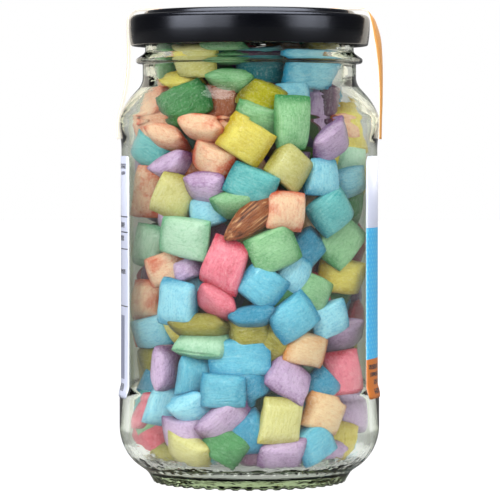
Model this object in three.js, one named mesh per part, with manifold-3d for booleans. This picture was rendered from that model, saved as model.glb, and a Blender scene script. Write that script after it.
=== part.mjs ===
// A shut glass jar of pillow-shaped hard candies, with a single almond among them.
// Millimetres, +Z up, origin at the middle of the foot, front towards -Y.

import * as THREE from "three";
import { mergeVertices } from "three/addons/utils/BufferGeometryUtils.js";
import Module from "manifold-3d";

const wasm = await Module();
wasm.setup();

// Driving dimensions.

const sides = 36; // flats round each turned piece
const touchGap = 0.35; // air left between two pieces that touch

const glass = {
  topHeight: 128.1,
  mouthRadius: 26.3,
  finishRadius: 28.7,
  threadRadius: 30.2,
  threadFoot: 121,
  threadLow: 121.8,
  threadHigh: 122.8,
  threadTop: 123.8,
  collarRadius: 31.3,
  collarLip: 0.2,
  collarUnderside: 114.9,
  collarEdge: 116.1,
  collarTop: 117.9,
  neckRadius: 29.35,
  neckFoot: 109.4,
  shoulderBreakRadius: 33.9,
  shoulderBreakHeight: 104.4,
  bulgeRadius: 35.9,
  bulgeTop: 99.95,
  bulgeFoot: 97.4,
  panelRadius: 34.95,
  panelTop: 93,
  panelBottom: 22.6,
  heelBulgeRadius: 35.85,
  heelBulgeTop: 18,
  heelCornerHeight: 10.3,
  footRadius: 26.5,
  footInnerRadius: 24.4,
  footBevel: [27.0, 1],
  heelFoot: [28.3, 3.05],
  heelRise: [31.6, 5.3],
  pushUp: 2.7,
  pushUpEdge: [19.5, 2.2],
  bodyInnerRadius: 33.5,
  innerShoulderTop: 109.6,
  innerBreakRadius: 31.95,
  innerBreakHeight: 102.7,
  innerShoulderBottom: 99.6,
  innerHeelRadius: 9.5,
  floorEdge: 4.3,
  floorMiddle: 5.5,
};

const lid = {
  rimHeight: 119.8,
  wallTopRadius: 33.1,
  wallFootRadius: 32.6,
  wall: 0.8,
  curl: 0.5,
  curlHeight: 0.4,
  curlTop: 1.6,
  shoulderEdge: 31.4,
  shoulderHeight: 127.5,
  grooveHeight: 128.15,
  grooveWidth: 0.6,
  panelRingRadius: 28.7,
  panelRingWidth: 4,
  bevel: 0.3,
  top: 129.4,
  panelDrop: 0.25,
};

const label = {
  radius: 35.3,
  thickness: 0.2,
  bottom: 23.5,
  top: 89.6,
  leftEnd: -67.3, // degrees round from the front; the label runs from here round the back
  rightEnd: 63.5,
  cornerRadius: 2.2,
  columns: 34,
};

const strip = {
  width: 12,
  thickness: 0.2,
  slant: 0.061, // how far it drifts towards the front for each millimetre to the right
  steps: 38,
};

const candy = {
  length: 12.6,
  width: 11.4,
  thickness: 7.2,
  flatShare: 0.24, // half the flat middle of the cross-section, as a share of the width
  endShare: 0.47, // half of the pinched edge, as a share of the width
};

const heap = {
  coreDepth: 6.4, // how far the core stays behind the outermost candies
  coreTop: 119.5,
  coreFloor: 8.2,
  coreFloorInset: 4,
  coreShoulderDrop: 3,
  coreSides: 12,
  topRing: 14.5,
  topCount: 6,
  floorRing: 16,
  floorCount: 6,
  rowPitch: 12.2,
  firstRow: 10.5,
  lastRow: 117,
  aroundPitch: 12.6,
  leastSpacing: 8.6,
  aroundDrift: 0.1, // how unevenly the rows lie: share of a place, millimetres and degrees
  heightDrift: 1.2,
  tilt: 22,
  layerDrift: 0.15,
  layerTilt: 14,
  leastSize: 0.88, // shares of the usual candy
  mostLength: 1.1,
  mostWidth: 1.05,
  backFrom: 62, // degrees: the rows fill what lies further round than the front candies
};

const almond = {
  length: 18.5,
  width: 8.6,
  thickness: 6.4,
  facets: 10,
  // place and turn as a viewer in front sees them
  across: 0.7,
  up: 72.7,
  turn: 38,
  lean: 10,
  back: 0.3,
};

// The candies that lie at the front are placed as a viewer sees them, from this far away.
const viewer = {
  distance: 827,
  height: 91.2,
  flatness: 0.9, // share of the way round the jar that a candy's face turns with the glass
  asideLoss: 0.65, // how much less it turns at the sides, fading in between these two angles
  asideFrom: 0.6,
  asideTo: 1.25,
};

// Each row is one front candy: millimetres across and up as seen on the jar's middle plane,
// turn in that plane, roll about its own length, lean of its length towards the glass, length,
// width, and depth behind the glass.
const frontCandies = [
  // neck and shoulder
  [-14.7, 116.0, 0, 10, 0, 13.0, 9.5, 0.3],
  [-22.7, 109.4, 80, 0, 0, 13.0, 10.0, 0.5],
  [-17.6, 109.0, 8, 60, 0, 11.5, 10.5, 0.0],
  [-4.5, 109.4, -3, 60, 0, 12.8, 11.0, 0.0],
  [3.0, 113.8, 10, 20, 0, 13.0, 11.0, 9.0],
  [16.1, 112.3, -5, 15, 0, 16.0, 10.6, 0.0],
  [-6.7, 119.0, 0, 70, 0, 12.0, 10.0, 0.5],
  [22.0, 119.0, 10, 60, 0, 11.0, 10.0, 0.5],
  [22.8, 104.5, 85, 60, 0, 10.5, 10.0, 2.0],
  [18.9, 101.8, 80, 0, 0, 12.5, 10.0, 4.5],
  [-7.5, 103.2, 80, 0, 0, 13.0, 10.0, 6.0],
  [3.5, 105.0, -28, 25, 0, 11.0, 9.5, 0.6],
  [2.4, 99.6, -15, 20, 0, 13.0, 9.0, 5.0],
  [11.5, 98.4, 88, 0, 0, 14.0, 9.8, 0.4],
  [-17.2, 103.9, 22, 20, 0, 15.5, 9.8, 0.0],
  [-29.5, 99.9, 38, 0, 0, 13.8, 10.6, 0.0],
  [26.4, 98.4, -25, 78, 0, 9.0, 8.6, 2.4],
  [21.7, 93.4, 32, 25, 0, 11.8, 9.8, 0.2],
  [28.8, 96.6, 104, 0, 0, 15.6, 10.0, 0.0],
  [26.4, 89.0, 20, 0, 0, 11.0, 9.0, 3.0],
  // upper body
  [-21.6, 94.8, -15, 62, 0, 11.4, 10.0, 0.4],
  [-12.2, 97.3, -12, 72, 0, 13.2, 10.4, 0.0],
  [-9.6, 88.7, -24, 22, 0, 12.4, 9.4, 1.8],
  [-0.9, 94.0, -33, 0, 0, 13.4, 11.2, 0.0],
  [10.9, 86.7, -39, 0, 0, 11.6, 10.8, 0.3],
  [0.6, 82.1, -15, 12, 0, 14.4, 10.6, 0.8],
  [-28.6, 91.0, -35, 20, 0, 13.4, 10.4, 0.0],
  [-20.2, 86.8, 24, 68, 0, 12.6, 10.0, 1.2],
  [-28.9, 79.7, 82, 25, 0, 14.6, 9.6, 0.0],
  [-20.3, 78.4, 66, 28, 0, 12.4, 11.4, 0.2],
  [-11.8, 80.9, -4, 48, 0, 11.8, 9.6, 0.8],
  [-3.2, 76.8, 16, 55, 0, 13.0, 9.6, 1.8],
  [-11.7, 74.2, 15, 0, 0, 10.0, 9.0, 4.0],
  [22.2, 74.4, 35, 0, 0, 12.6, 11.6, 0.0],
  [19.5, 83.8, 85, 0, 0, 10.4, 10.0, 1.2],
  [27.0, 82.4, 15, 25, 0, 10.0, 8.6, 1.0],
  [10.1, 74.4, 85, 0, 0, 10.8, 10.8, 0.6],
  [30.4, 76.5, 85, 0, 0, 12.0, 8.6, 1.6],
  // middle
  [24.4, 66.0, 50, 0, 0, 13.6, 11.8, 0.0],
  [-17.2, 67.0, -8, 0, 0, 15.0, 11.4, 0.0],
  [-28.0, 64.6, 75, 0, 0, 12.4, 9.6, 0.4],
  [6.5, 63.7, 25, 0, 0, 13.4, 11.8, 0.2],
  [25.0, 56.2, -6, 35, 0, 13.2, 10.2, 0.4],
  [11.7, 56.6, 65, 0, 0, 11.0, 9.4, 3.0],
  [3.5, 53.7, -35, 0, 0, 11.8, 10.8, 0.4],
  [-6.7, 59.5, 70, 0, 0, 14.0, 11.8, 0.0],
  [-8.7, 49.0, -33, 50, 0, 12.2, 10.2, 0.6],
  [-22.4, 58.4, 15, 10, 0, 12.4, 9.6, 1.2],
  [-19.4, 49.0, 84, 0, 0, 12.6, 11.6, 0.0],
  [-28.2, 49.3, 85, 0, 0, 11.4, 9.2, 0.2],
  [17.0, 52.2, -25, 0, 0, 11.4, 9.6, 2.4],
  [-26.9, 40.2, 12, 10, 0, 10.6, 8.8, 0.4],
  [-12.5, 42.0, 5, 66, 0, 16.6, 11.0, 0.8],
  [-12.7, 37.3, 88, 0, 66, 10.4, 15.4, 0.0],
  [12.0, 44.9, 35, 0, 0, 13.0, 10.8, 0.0],
  [21.4, 44.2, 20, 0, 0, 11.4, 9.8, 1.2],
  [1.0, 45.4, 10, 78, 0, 12.8, 10.0, 0.4],
  [25.0, 40.0, 10, 40, 0, 13.0, 9.8, 1.0],
  // lower body
  [-22.7, 30.3, 88, 62, 0, 12.0, 9.6, 0.6],
  [-28.8, 32.6, 20, 0, 0, 11.0, 10.0, 2.0],
  [-28.4, 24.0, 60, 0, 0, 12.4, 9.6, 1.0],
  [-15.0, 28.7, 78, 52, 0, 11.6, 9.8, 0.4],
  [-2.6, 33.8, 3, 0, 0, 16.4, 11.0, 2.0],
  [-7.0, 24.5, -3, 0, 0, 12.2, 9.6, 0.0],
  [-22.7, 20.4, 68, 48, 0, 11.6, 9.6, 0.4],
  [-15.3, 19.5, 18, 50, 0, 12.2, 9.6, 0.2],
  [25.3, 28.4, 98, 0, 0, 14.4, 10.4, 0.0],
  [10.6, 27.9, 55, 0, 36, 12.8, 13.2, 0.0],
  [15.3, 36.1, -15, 0, 0, 12.0, 9.6, 1.2],
  [19.7, 25.0, -40, 0, 0, 10.6, 9.6, 3.0],
  [6.2, 38.2, -40, 0, 0, 11.0, 9.6, 4.0],
  // heel
  [20.0, 18.2, -20, 0, 0, 12.0, 10.0, 0.2],
  [28.8, 17.9, 85, 0, 0, 9.6, 9.4, 0.6],
  [-27.4, 12.0, -32, 15, 0, 13.4, 10.2, 0.2],
  [-17.8, 12.9, -5, 10, 0, 12.6, 9.2, 1.0],
  [-6.7, 16.5, 42, 40, 0, 14.6, 9.8, 0.0],
  [-6.5, 8.0, -30, 0, 0, 11.6, 9.8, 0.4],
  [-16.1, 7.6, -18, 40, 0, 13.4, 9.6, 0.2],
  [0.0, 12.9, -65, 15, 0, 12.0, 9.8, 2.0],
  [8.4, 16.2, 80, 0, 0, 12.2, 11.6, 0.0],
  [24.4, 10.8, 70, 0, 0, 10.6, 9.4, 2.0],
  [17.8, 9.8, 30, 0, 0, 11.0, 10.4, 0.0],
  [8.7, 6.4, 4, 40, 0, 13.0, 9.6, 0.4],
  // deeper ones that show in the gaps
  [1.3, 66.4, 20, 0, 0, 11.0, 9.6, 5.0],
  [15.3, 63.7, 40, 0, 0, 11.0, 9.6, 5.0],
  [-16.9, 58.1, 20, 0, 0, 9.0, 6.0, 3.5],
  [-30.2, 58.7, 70, 0, 0, 11.0, 9.0, 3.0],
  [-21.6, 38.3, 10, 0, 0, 11.0, 9.0, 4.0],
  [-28.5, 18.2, 55, 80, 0, 8.0, 9.0, 1.0],
  [31.9, 17.1, 80, 0, 0, 11.0, 8.0, 0.5],
  [9.3, 10.4, 0, 0, 0, 11.0, 9.6, 4.0],
  [8.2, 50.2, 30, 0, 0, 11.0, 9.6, 4.0],
  [26.6, 47.4, -20, 0, 0, 11.0, 9.6, 5.0],
  [28.3, 36.1, 10, 0, 0, 11.0, 9.6, 4.0],
  [-32.6, 19.8, 70, 0, 0, 10.0, 9.0, 0.5],
  [-31.8, 16.5, 20, 0, 0, 9.0, 8.0, 1.0],
  [-30.7, 27.0, 80, 0, 0, 11.0, 9.0, 3.0],
  [0.2, 41.1, 10, 0, 0, 11.0, 9.6, 3.0],
  [24.4, 21.2, 40, 0, 0, 11.0, 9.6, 4.0],
  [26.4, 51.3, -20, 0, 0, 11.0, 9.6, 4.0],
  [30.8, 88.5, 80, 0, 0, 11.0, 9.0, 1.0],
  [11.5, 106.1, 10, 0, 0, 10.0, 8.0, 4.0],
  [0.6, 26.0, 40, 0, 0, 11.0, 9.6, 3.0],
];

// Outlines.

const degrees = THREE.MathUtils.degToRad;

// Points along a line through corners [radius, height, rounding], with each rounding an arc.
function roundedOutline(corners, stepDegrees = 36) {
  const points = [];
  corners.forEach(([radius, height, rounding = 0], index) => {
    const corner = new THREE.Vector2(radius, height);
    const before = corners[index - 1];
    const after = corners[index + 1];
    if (!rounding || !before || !after) {
      points.push(corner);
      return;
    }
    const inward = new THREE.Vector2(before[0], before[1]).sub(corner).normalize();
    const outward = new THREE.Vector2(after[0], after[1]).sub(corner).normalize();
    const half = Math.acos(THREE.MathUtils.clamp(inward.dot(outward), -1, 1)) / 2;
    const reach = rounding / Math.tan(half);
    const bisector = inward.clone().add(outward).normalize();
    const centre = bisector.multiplyScalar(rounding / Math.sin(half)).add(corner);
    const start = inward.clone().multiplyScalar(reach).add(corner).sub(centre);
    const end = outward.clone().multiplyScalar(reach).add(corner).sub(centre);
    const swing = Math.PI - 2 * half;
    const turnsLeft = start.cross(end) > 0 ? 1 : -1;
    const steps = Math.max(1, Math.ceil(swing / degrees(stepDegrees)));
    for (let step = 0; step <= steps; step += 1) {
      const angle = (turnsLeft * swing * step) / steps;
      points.push(start.clone().rotateAround(new THREE.Vector2(), angle).add(centre));
    }
  });
  return points;
}

const glassOutside = [
  [0, glass.pushUp],
  glass.pushUpEdge,
  [glass.footInnerRadius, 0],
  [glass.footRadius, 0],
  glass.footBevel,
  glass.heelFoot,
  glass.heelRise,
  [glass.heelBulgeRadius, glass.heelCornerHeight, 7.5],
  [glass.heelBulgeRadius, glass.heelBulgeTop, 1.2],
  [glass.panelRadius, glass.panelBottom, 1.2],
  [glass.panelRadius, glass.panelTop],
  [glass.bulgeRadius, glass.bulgeFoot],
  [glass.bulgeRadius, glass.bulgeTop, 2.6],
  [glass.shoulderBreakRadius, glass.shoulderBreakHeight],
  [glass.neckRadius, glass.neckFoot, 2.0],
  [glass.neckRadius, glass.collarUnderside],
  [glass.collarRadius - glass.collarLip, glass.collarUnderside],
  [glass.collarRadius, glass.collarEdge],
  [glass.finishRadius, glass.collarTop],
  [glass.finishRadius, glass.threadFoot],
  [glass.threadRadius, glass.threadLow],
  [glass.threadRadius, glass.threadHigh],
  [glass.finishRadius, glass.threadTop],
  [glass.finishRadius, glass.topHeight, 0.8],
];

const glassInside = [
  [glass.mouthRadius, glass.topHeight, 0.8],
  [glass.mouthRadius, glass.innerShoulderTop, 2.4],
  [glass.innerBreakRadius, glass.innerBreakHeight],
  [glass.bodyInnerRadius, glass.innerShoulderBottom],
  [glass.bodyInnerRadius, glass.floorEdge, glass.innerHeelRadius],
  [0, glass.floorMiddle],
];

const insideOutline = roundedOutline([[0, glass.topHeight], ...glassInside]).slice(1);

// Radius of the space inside the glass at a height above its floor.
function insideRadius(height) {
  for (let index = 1; index < insideOutline.length; index += 1) {
    const upper = insideOutline[index - 1];
    const lower = insideOutline[index];
    if (height <= upper.y && height >= lower.y && upper.y > lower.y) {
      const share = (height - lower.y) / (upper.y - lower.y);
      return THREE.MathUtils.lerp(lower.x, upper.x, share);
    }
  }
  return height > glass.floorMiddle ? glass.mouthRadius : 0;
}

// Solids.

function solidOf(geometry) {
  const bare = geometry.index ? geometry.clone() : geometry;
  bare.deleteAttribute("normal");
  bare.deleteAttribute("uv");
  const merged = mergeVertices(bare, 1e-4);
  const mesh = new wasm.Mesh({
    numProp: 3,
    vertProperties: new Float32Array(merged.attributes.position.array),
    triVerts: new Uint32Array(merged.index.array),
  });
  return new wasm.Manifold(mesh);
}

function geometryOf(solid) {
  const { vertProperties, triVerts } = solid.getMesh();
  const geometry = new THREE.BufferGeometry();
  geometry.setAttribute("position", new THREE.BufferAttribute(new Float32Array(vertProperties), 3));
  geometry.setIndex(new THREE.BufferAttribute(new Uint32Array(triVerts), 1));
  return geometry;
}

// A solid of revolution about Z from an outline that runs up the outside and back to the axis.
function turned(outline, sideCount = sides) {
  const geometry = new THREE.LatheGeometry(outline, sideCount);
  geometry.rotateX(Math.PI / 2);
  return geometry;
}

// A sheet bent round the Z axis from one angle to another, with rounded corners.
function bentSheet({ radius, thickness, bottom, top, fromAngle, toAngle, cornerRadius, columns }) {
  const positions = [];
  const indices = [];
  const length = degrees(toAngle - fromAngle) * radius;
  const cornerSteps = [0, 0.12, 0.45, 1];
  const stations = cornerSteps.map((share) => share * cornerRadius);
  const middle = length - 2 * cornerRadius;
  for (let column = 1; column < columns; column += 1) {
    stations.push(cornerRadius + (middle * column) / columns);
  }
  cornerSteps.slice().reverse().forEach((share) => stations.push(length - share * cornerRadius));
  stations.forEach((station) => {
    const fromEnd = Math.min(station, length - station, cornerRadius);
    const inset = cornerRadius - Math.sqrt(Math.max(0, cornerRadius ** 2 - (cornerRadius - fromEnd) ** 2));
    const angle = degrees(fromAngle) + station / radius;
    [radius, radius + thickness].forEach((reach) => {
      positions.push(reach * Math.sin(angle), -reach * Math.cos(angle), bottom + inset);
      positions.push(reach * Math.sin(angle), -reach * Math.cos(angle), top - inset);
    });
  });
  // Corners at each station: inner low, inner high, outer low, outer high.
  const ring = [0, 2, 3, 1];
  for (let index = 0; index < stations.length - 1; index += 1) {
    ring.forEach((corner, place) => {
      const next = ring[(place + 1) % ring.length];
      const a = index * 4 + corner;
      const b = index * 4 + next;
      indices.push(a, a + 4, b, b, a + 4, b + 4);
    });
  }
  const last = (stations.length - 1) * 4;
  indices.push(0, 2, 3, 0, 3, 1, last, last + 3, last + 2, last, last + 1, last + 3);
  const geometry = new THREE.BufferGeometry();
  geometry.setAttribute("position", new THREE.BufferAttribute(new Float32Array(positions), 3));
  geometry.setIndex(indices);
  return geometry;
}

// A pillow with its two ends pinched to an edge, lying in XY with its length along X.
function pillow(length, width, thickness) {
  const flat = candy.flatShare;
  const belt = [
    [0.5, 0],
    [flat, 0.5],
    [-flat, 0.5],
    [-0.5, 0],
    [-flat, -0.5],
    [flat, -0.5],
  ];
  const positions = belt.flatMap(([y, z]) => [0, y * width, z * thickness]);
  const indices = [];
  [0.5, -0.5].forEach((share, end) => {
    const plus = belt.length + 2 * end;
    const minus = plus + 1;
    const x = share * length;
    const y = candy.endShare * width;
    positions.push(x, y, 0, x, -y, 0);
    // Fans from each half of the belt to the two corners of the pinched edge.
    const fans = [
      [0, 1, plus],
      [1, 2, plus],
      [2, minus, plus],
      [2, 3, minus],
      [3, 4, minus],
      [4, 5, minus],
      [5, plus, minus],
      [5, 0, plus],
    ];
    fans.forEach(([a, b, c]) => indices.push(...(end ? [a, c, b] : [a, b, c])));
  });
  const geometry = new THREE.BufferGeometry();
  geometry.setAttribute("position", new THREE.BufferAttribute(new Float32Array(positions), 3));
  geometry.setIndex(indices);
  return geometry;
}

// Placing the candies.

let seed = 4177;
function random() {
  seed = (seed * 1664525 + 1013904223) % 4294967296;
  return seed / 4294967296;
}
const between = (low, high) => low + (high - low) * random();

// Axes of a piece whose flat side faces outwards at an angle round the jar.
function lyingAxes(aroundAngle, turn, roll, lean = 0) {
  const outward = new THREE.Vector3(Math.sin(aroundAngle), -Math.cos(aroundAngle), 0);
  const along = new THREE.Vector3(Math.cos(aroundAngle), Math.sin(aroundAngle), 0);
  const up = new THREE.Vector3(0, 0, 1);
  const face = new THREE.Matrix4().makeBasis(along, up, outward);
  const spun = new THREE.Matrix4().makeRotationZ(degrees(turn));
  const leaned = new THREE.Matrix4().makeRotationY(degrees(lean));
  const rolled = new THREE.Matrix4().makeRotationX(degrees(roll));
  return face.multiply(spun).multiply(leaned).multiply(rolled);
}

// Moves a shape straight inwards, and up off the floor, until all of it is inside the glass.
function settledCentre(shape, axes, outward, height, back) {
  const corners = [];
  const positions = shape.attributes.position;
  const cornerAt = (index) => new THREE.Vector3().fromBufferAttribute(positions, index).applyMatrix4(axes);
  for (let index = 0; index < shape.index.count; index += 1) {
    const next = index % 3 === 2 ? index - 2 : index + 1;
    const from = cornerAt(shape.index.getX(index));
    const to = cornerAt(shape.index.getX(next));
    [0, 0.25, 0.5, 0.75].forEach((share) => corners.push(from.clone().lerp(to, share)));
  }
  const lowest = Math.min(...corners.map((corner) => corner.z));
  const floor = glass.floorMiddle + touchGap - lowest;
  const centre = outward.clone().multiplyScalar(glass.bodyInnerRadius).setZ(Math.max(height, floor));
  for (let pass = 0; pass < 12; pass += 1) {
    const over = corners.map((corner) => {
      const point = corner.clone().add(centre);
      return Math.hypot(point.x, point.y) - (insideRadius(point.z) - touchGap);
    });
    const worst = Math.max(...over);
    centre.addScaledVector(outward, -worst);
    if (Math.abs(worst) < 0.01) break;
  }
  return centre.addScaledVector(outward, -back);
}

// A piece placed where a viewer in front sees it, with its outermost point against the glass.
function seenPiece(shape, { across, up, turn, roll = 0, lean = 0, back }) {
  let depth = glass.bodyInnerRadius - candy.thickness / 2;
  let placed = null;
  for (let pass = 0; pass < 5; pass += 1) {
    const shrink = (viewer.distance - depth) / viewer.distance;
    const height = viewer.height + (up - viewer.height) * shrink;
    const x = across * shrink;
    const radius = placed ? Math.hypot(placed.centre.x, placed.centre.y) : depth;
    const angle = Math.asin(THREE.MathUtils.clamp(x / radius, -0.99, 0.99));
    const outward = new THREE.Vector3(Math.sin(angle), -Math.cos(angle), 0);
    // Those at the sides lie less flat on the glass and show more of their face to the front.
    const aside = THREE.MathUtils.smoothstep(Math.abs(angle), viewer.asideFrom, viewer.asideTo);
    const axes = lyingAxes((viewer.flatness - viewer.asideLoss * aside) * angle, turn, roll, lean);
    placed = { axes, centre: settledCentre(shape, axes, outward, height, back) };
    depth = -placed.centre.y;
  }
  return placed.axes.clone().setPosition(placed.centre);
}

function frontHeap() {
  return frontCandies.map(([across, up, turn, roll, lean, length, width, back]) => {
    const shape = pillow(length, width, candy.thickness);
    return shape.applyMatrix4(seenPiece(shape, { across, up, turn, roll, lean, back }));
  });
}

const middleOf = (shape) => {
  shape.computeBoundingBox();
  return shape.boundingBox.getCenter(new THREE.Vector3());
};

// Rows of candies round the sides and the back, wherever no other candy lies yet.
function rowHeap(taken) {
  const shapes = [];
  const centres = taken.map(middleOf);
  let row = 0;
  for (let height = heap.firstRow; height <= heap.lastRow; height += heap.rowPitch) {
    const radius = insideRadius(height) - candy.thickness / 2;
    const count = Math.floor((2 * Math.PI * radius) / heap.aroundPitch);
    for (let place = 0; place < count; place += 1) {
      const step = place + (row % 2) / 2 + between(-heap.aroundDrift, heap.aroundDrift);
      const angle = (step / count) * 2 * Math.PI - Math.PI;
      const outward = new THREE.Vector3(Math.sin(angle), -Math.cos(angle), 0);
      const axes = lyingAxes(angle, between(-90, 90), between(-heap.tilt, heap.tilt));
      const long = candy.length * between(heap.leastSize, heap.mostLength);
      const wide = candy.width * between(heap.leastSize, heap.mostWidth);
      const shape = pillow(long, wide, candy.thickness);
      const level = height + between(-heap.heightDrift, heap.heightDrift);
      const centre = settledCentre(shape, axes, outward, level, 0);
      const crowded = centres.some((other) => other.distanceTo(centre) < heap.leastSpacing);
      const inFront = Math.abs(angle) < degrees(heap.backFrom);
      if (!crowded && !inFront) {
        shapes.push(shape.applyMatrix4(axes.clone().setPosition(centre)));
        centres.push(centre);
      }
    }
    row += 1;
  }
  return shapes;
}

// Candies lying flat in a ring, on top of the heap or under it.
function layerHeap(height, radius, count) {
  return Array.from({ length: count }, (_, place) => {
    const angle = ((place + between(-heap.layerDrift, heap.layerDrift)) / count) * 2 * Math.PI;
    const shape = pillow(candy.length, candy.width, candy.thickness);
    shape.rotateX(degrees(between(-heap.layerTilt, heap.layerTilt)));
    shape.rotateZ(between(0, Math.PI));
    return shape.translate(radius * Math.cos(angle), radius * Math.sin(angle), height);
  });
}

function almondShape(grow = 0) {
  const half = almond.length / 2 + grow;
  const outline = [
    [0, -half],
    [0.2, -0.84 * half],
    [0.4, -0.5 * half],
    [0.5, -0.02 * half],
    [0.44, 0.45 * half],
    [0.26, 0.86 * half],
    [0, half],
  ].map(([share, z]) => new THREE.Vector2(share * (almond.width + 2 * grow), z));
  const geometry = turned(outline, almond.facets);
  geometry.scale(1, (almond.thickness + 2 * grow) / (almond.width + 2 * grow), 1);
  // Length along X, flat side towards Z.
  geometry.applyMatrix4(
    new THREE.Matrix4().makeBasis(
      new THREE.Vector3(0, 1, 0),
      new THREE.Vector3(0, 0, 1),
      new THREE.Vector3(1, 0, 0),
    ),
  );
  return geometry;
}

// The pieces of the jar.

function glassGeometry() {
  return turned([...roundedOutline(glassOutside), ...insideOutline]);
}

function lidGeometry() {
  const outside = [
    [lid.wallFootRadius, lid.rimHeight + lid.bevel],
    [lid.wallTopRadius, lid.shoulderHeight, 2.0],
    [lid.shoulderEdge, lid.grooveHeight + lid.bevel],
    [lid.panelRingRadius + lid.grooveWidth, lid.grooveHeight],
    [lid.panelRingRadius, lid.top - lid.bevel],
    [lid.panelRingRadius - lid.wall, lid.top],
    [lid.panelRingRadius - lid.panelRingWidth, lid.top - lid.panelDrop],
    [0, lid.top - lid.panelDrop],
  ];
  const innerFoot = lid.wallFootRadius - lid.wall;
  const inside = [
    [0, glass.topHeight + touchGap],
    [glass.finishRadius + touchGap, glass.topHeight + touchGap],
    [glass.finishRadius + touchGap + lid.wall, lid.grooveHeight - lid.wall],
    [lid.wallTopRadius - lid.wall, lid.shoulderHeight - lid.wall, 1.4],
    [innerFoot, lid.rimHeight + lid.curlTop],
    [innerFoot - lid.curl, lid.rimHeight + lid.curlTop - 2 * lid.bevel],
    [innerFoot - lid.curl, lid.rimHeight + lid.curlHeight],
    [lid.wallFootRadius - lid.curl, lid.rimHeight],
  ];
  return turned(roundedOutline([...inside, ...outside]));
}

function labelGeometry() {
  return bentSheet({ ...label, fromAngle: label.rightEnd, toAngle: 360 + label.leftEnd });
}

// The strip runs up one side, over the lid and down the other. Its two edges take their own
// ways, so that the right side bows out and turns a little of its face to the front.
const stripFoot = glass.bulgeRadius + touchGap + strip.thickness / 2;
const stripTop = lid.top + touchGap + strip.thickness / 2;
const stripEdges = {
  front: [
    [-stripFoot, 94.2],
    [-stripFoot, 99.2],
    [-35.3, 103.6],
    [-34.0, 109.5],
    [-33.5, 115.5],
    [-33.55, 125.6],
    [-33.2, 128.0],
    [-31.2, 129.6],
    [-28, stripTop],
    [0, stripTop],
    [28, stripTop],
    [31.4, 129.6],
    [33.4, 128.2],
    [34.3, 125.5],
    [35.0, 121.5],
    [35.6, 118],
    [36.2, 112],
    [36.45, 105],
    [stripFoot, 99.2],
    [stripFoot, 94.2],
  ],
  back: [
    [-stripFoot, 94.2],
    [-stripFoot, 99.2],
    [-35.7, 103.6],
    [-34.5, 109.5],
    [-33.95, 115.5],
    [-33.9, 125.6],
    [-33.4, 128.0],
    [-31.2, 129.6],
    [-28, stripTop],
    [0, stripTop],
    [28, stripTop],
    [31.9, 129.75],
    [34.3, 127.7],
    [35.4, 125.5],
    [36.4, 122.2],
    [36.8, 118],
    [36.85, 112],
    [36.7, 105],
    [stripFoot, 99.2],
    [stripFoot, 94.2],
  ],
};

function edgeCurve(points) {
  const places = points.map(([x, z]) => new THREE.Vector3(x, 0, z));
  return new THREE.CatmullRomCurve3(places, false, "catmullrom", 0.5);
}

function stripGeometry() {
  const front = edgeCurve(stripEdges.front);
  const back = edgeCurve(stripEdges.back);
  const positions = [];
  const indices = [];
  const across = [-0.5, 0, 0.5];
  const perStation = 2 * across.length;
  for (let step = 0; step <= strip.steps; step += 1) {
    const way = step / strip.steps;
    [-0.5, 0.5].forEach((side) => {
      across.forEach((share) => {
        const point = front.getPoint(way).lerp(back.getPoint(way), share + 0.5);
        const tangent = front.getTangent(way).lerp(back.getTangent(way), share + 0.5).normalize();
        const normal = new THREE.Vector3(-tangent.z, 0, tangent.x);
        const level = point.addScaledVector(normal, side * strip.thickness);
        const offset = share * strip.width - level.x * strip.slant;
        // On the upright parts the strip follows the roundness of the jar.
        const pulled = Math.abs(level.x) - Math.sqrt(Math.max(0, level.x ** 2 - offset ** 2));
        const x = level.x - Math.sign(level.x) * pulled * tangent.z ** 2;
        positions.push(x, offset, level.z);
      });
    });
  }
  const ring = [...across.keys(), ...[...across.keys()].reverse().map((index) => index + across.length)];
  for (let step = 0; step < strip.steps; step += 1) {
    ring.forEach((corner, place) => {
      const a = step * perStation + corner;
      const b = step * perStation + ring[(place + 1) % ring.length];
      indices.push(a, b, a + perStation, b, b + perStation, a + perStation);
    });
  }
  [0, strip.steps * perStation].forEach((first) => {
    for (let place = 0; place < across.length - 1; place += 1) {
      const low = first + place;
      const high = low + across.length;
      const corners = [low, high, low + 1, low + 1, high, high + 1];
      indices.push(...(first ? corners.reverse() : corners));
    }
  });
  const geometry = new THREE.BufferGeometry();
  geometry.setAttribute("position", new THREE.BufferAttribute(new Float32Array(positions), 3));
  geometry.setIndex(indices);
  return geometry;
}

const almondPlace = seenPiece(almondShape(), almond);

function heapGeometry() {
  const neckRadius = glass.mouthRadius - heap.coreDepth;
  const bodyRadius = glass.bodyInnerRadius - heap.coreDepth;
  const coreOutline = [
    [0, heap.coreFloor],
    [bodyRadius - heap.coreFloorInset, heap.coreFloor],
    [bodyRadius, glass.floorEdge + glass.innerHeelRadius],
    [bodyRadius, glass.innerShoulderBottom - heap.coreShoulderDrop],
    [neckRadius, glass.innerShoulderTop],
    [neckRadius, heap.coreTop],
    [0, heap.coreTop],
  ];
  const core = turned(coreOutline.map(([radius, height]) => new THREE.Vector2(radius, height)), heap.coreSides);
  const front = frontHeap();
  const shapes = [
    ...front,
    ...rowHeap(front),
    ...layerHeap(heap.coreTop + 1, heap.topRing, heap.topCount),
    ...layerHeap(heap.coreFloor + 1, heap.floorRing, heap.floorCount),
  ];
  const whole = shapes.reduce((sum, shape) => sum.add(solidOf(shape)), solidOf(core));
  const hollow = solidOf(almondShape(touchGap).applyMatrix4(almondPlace));
  const pieces = whole.subtract(hollow).decompose();
  return geometryOf(pieces.sort((a, b) => b.volume() - a.volume())[0]);
}

// The model.

function part(name, geometry, colour, roughness, metalness, extra = {}) {
  const material = new THREE.MeshStandardMaterial({ color: colour, roughness, metalness, ...extra });
  const mesh = new THREE.Mesh(geometry, material);
  mesh.name = name;
  return mesh;
}

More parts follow.
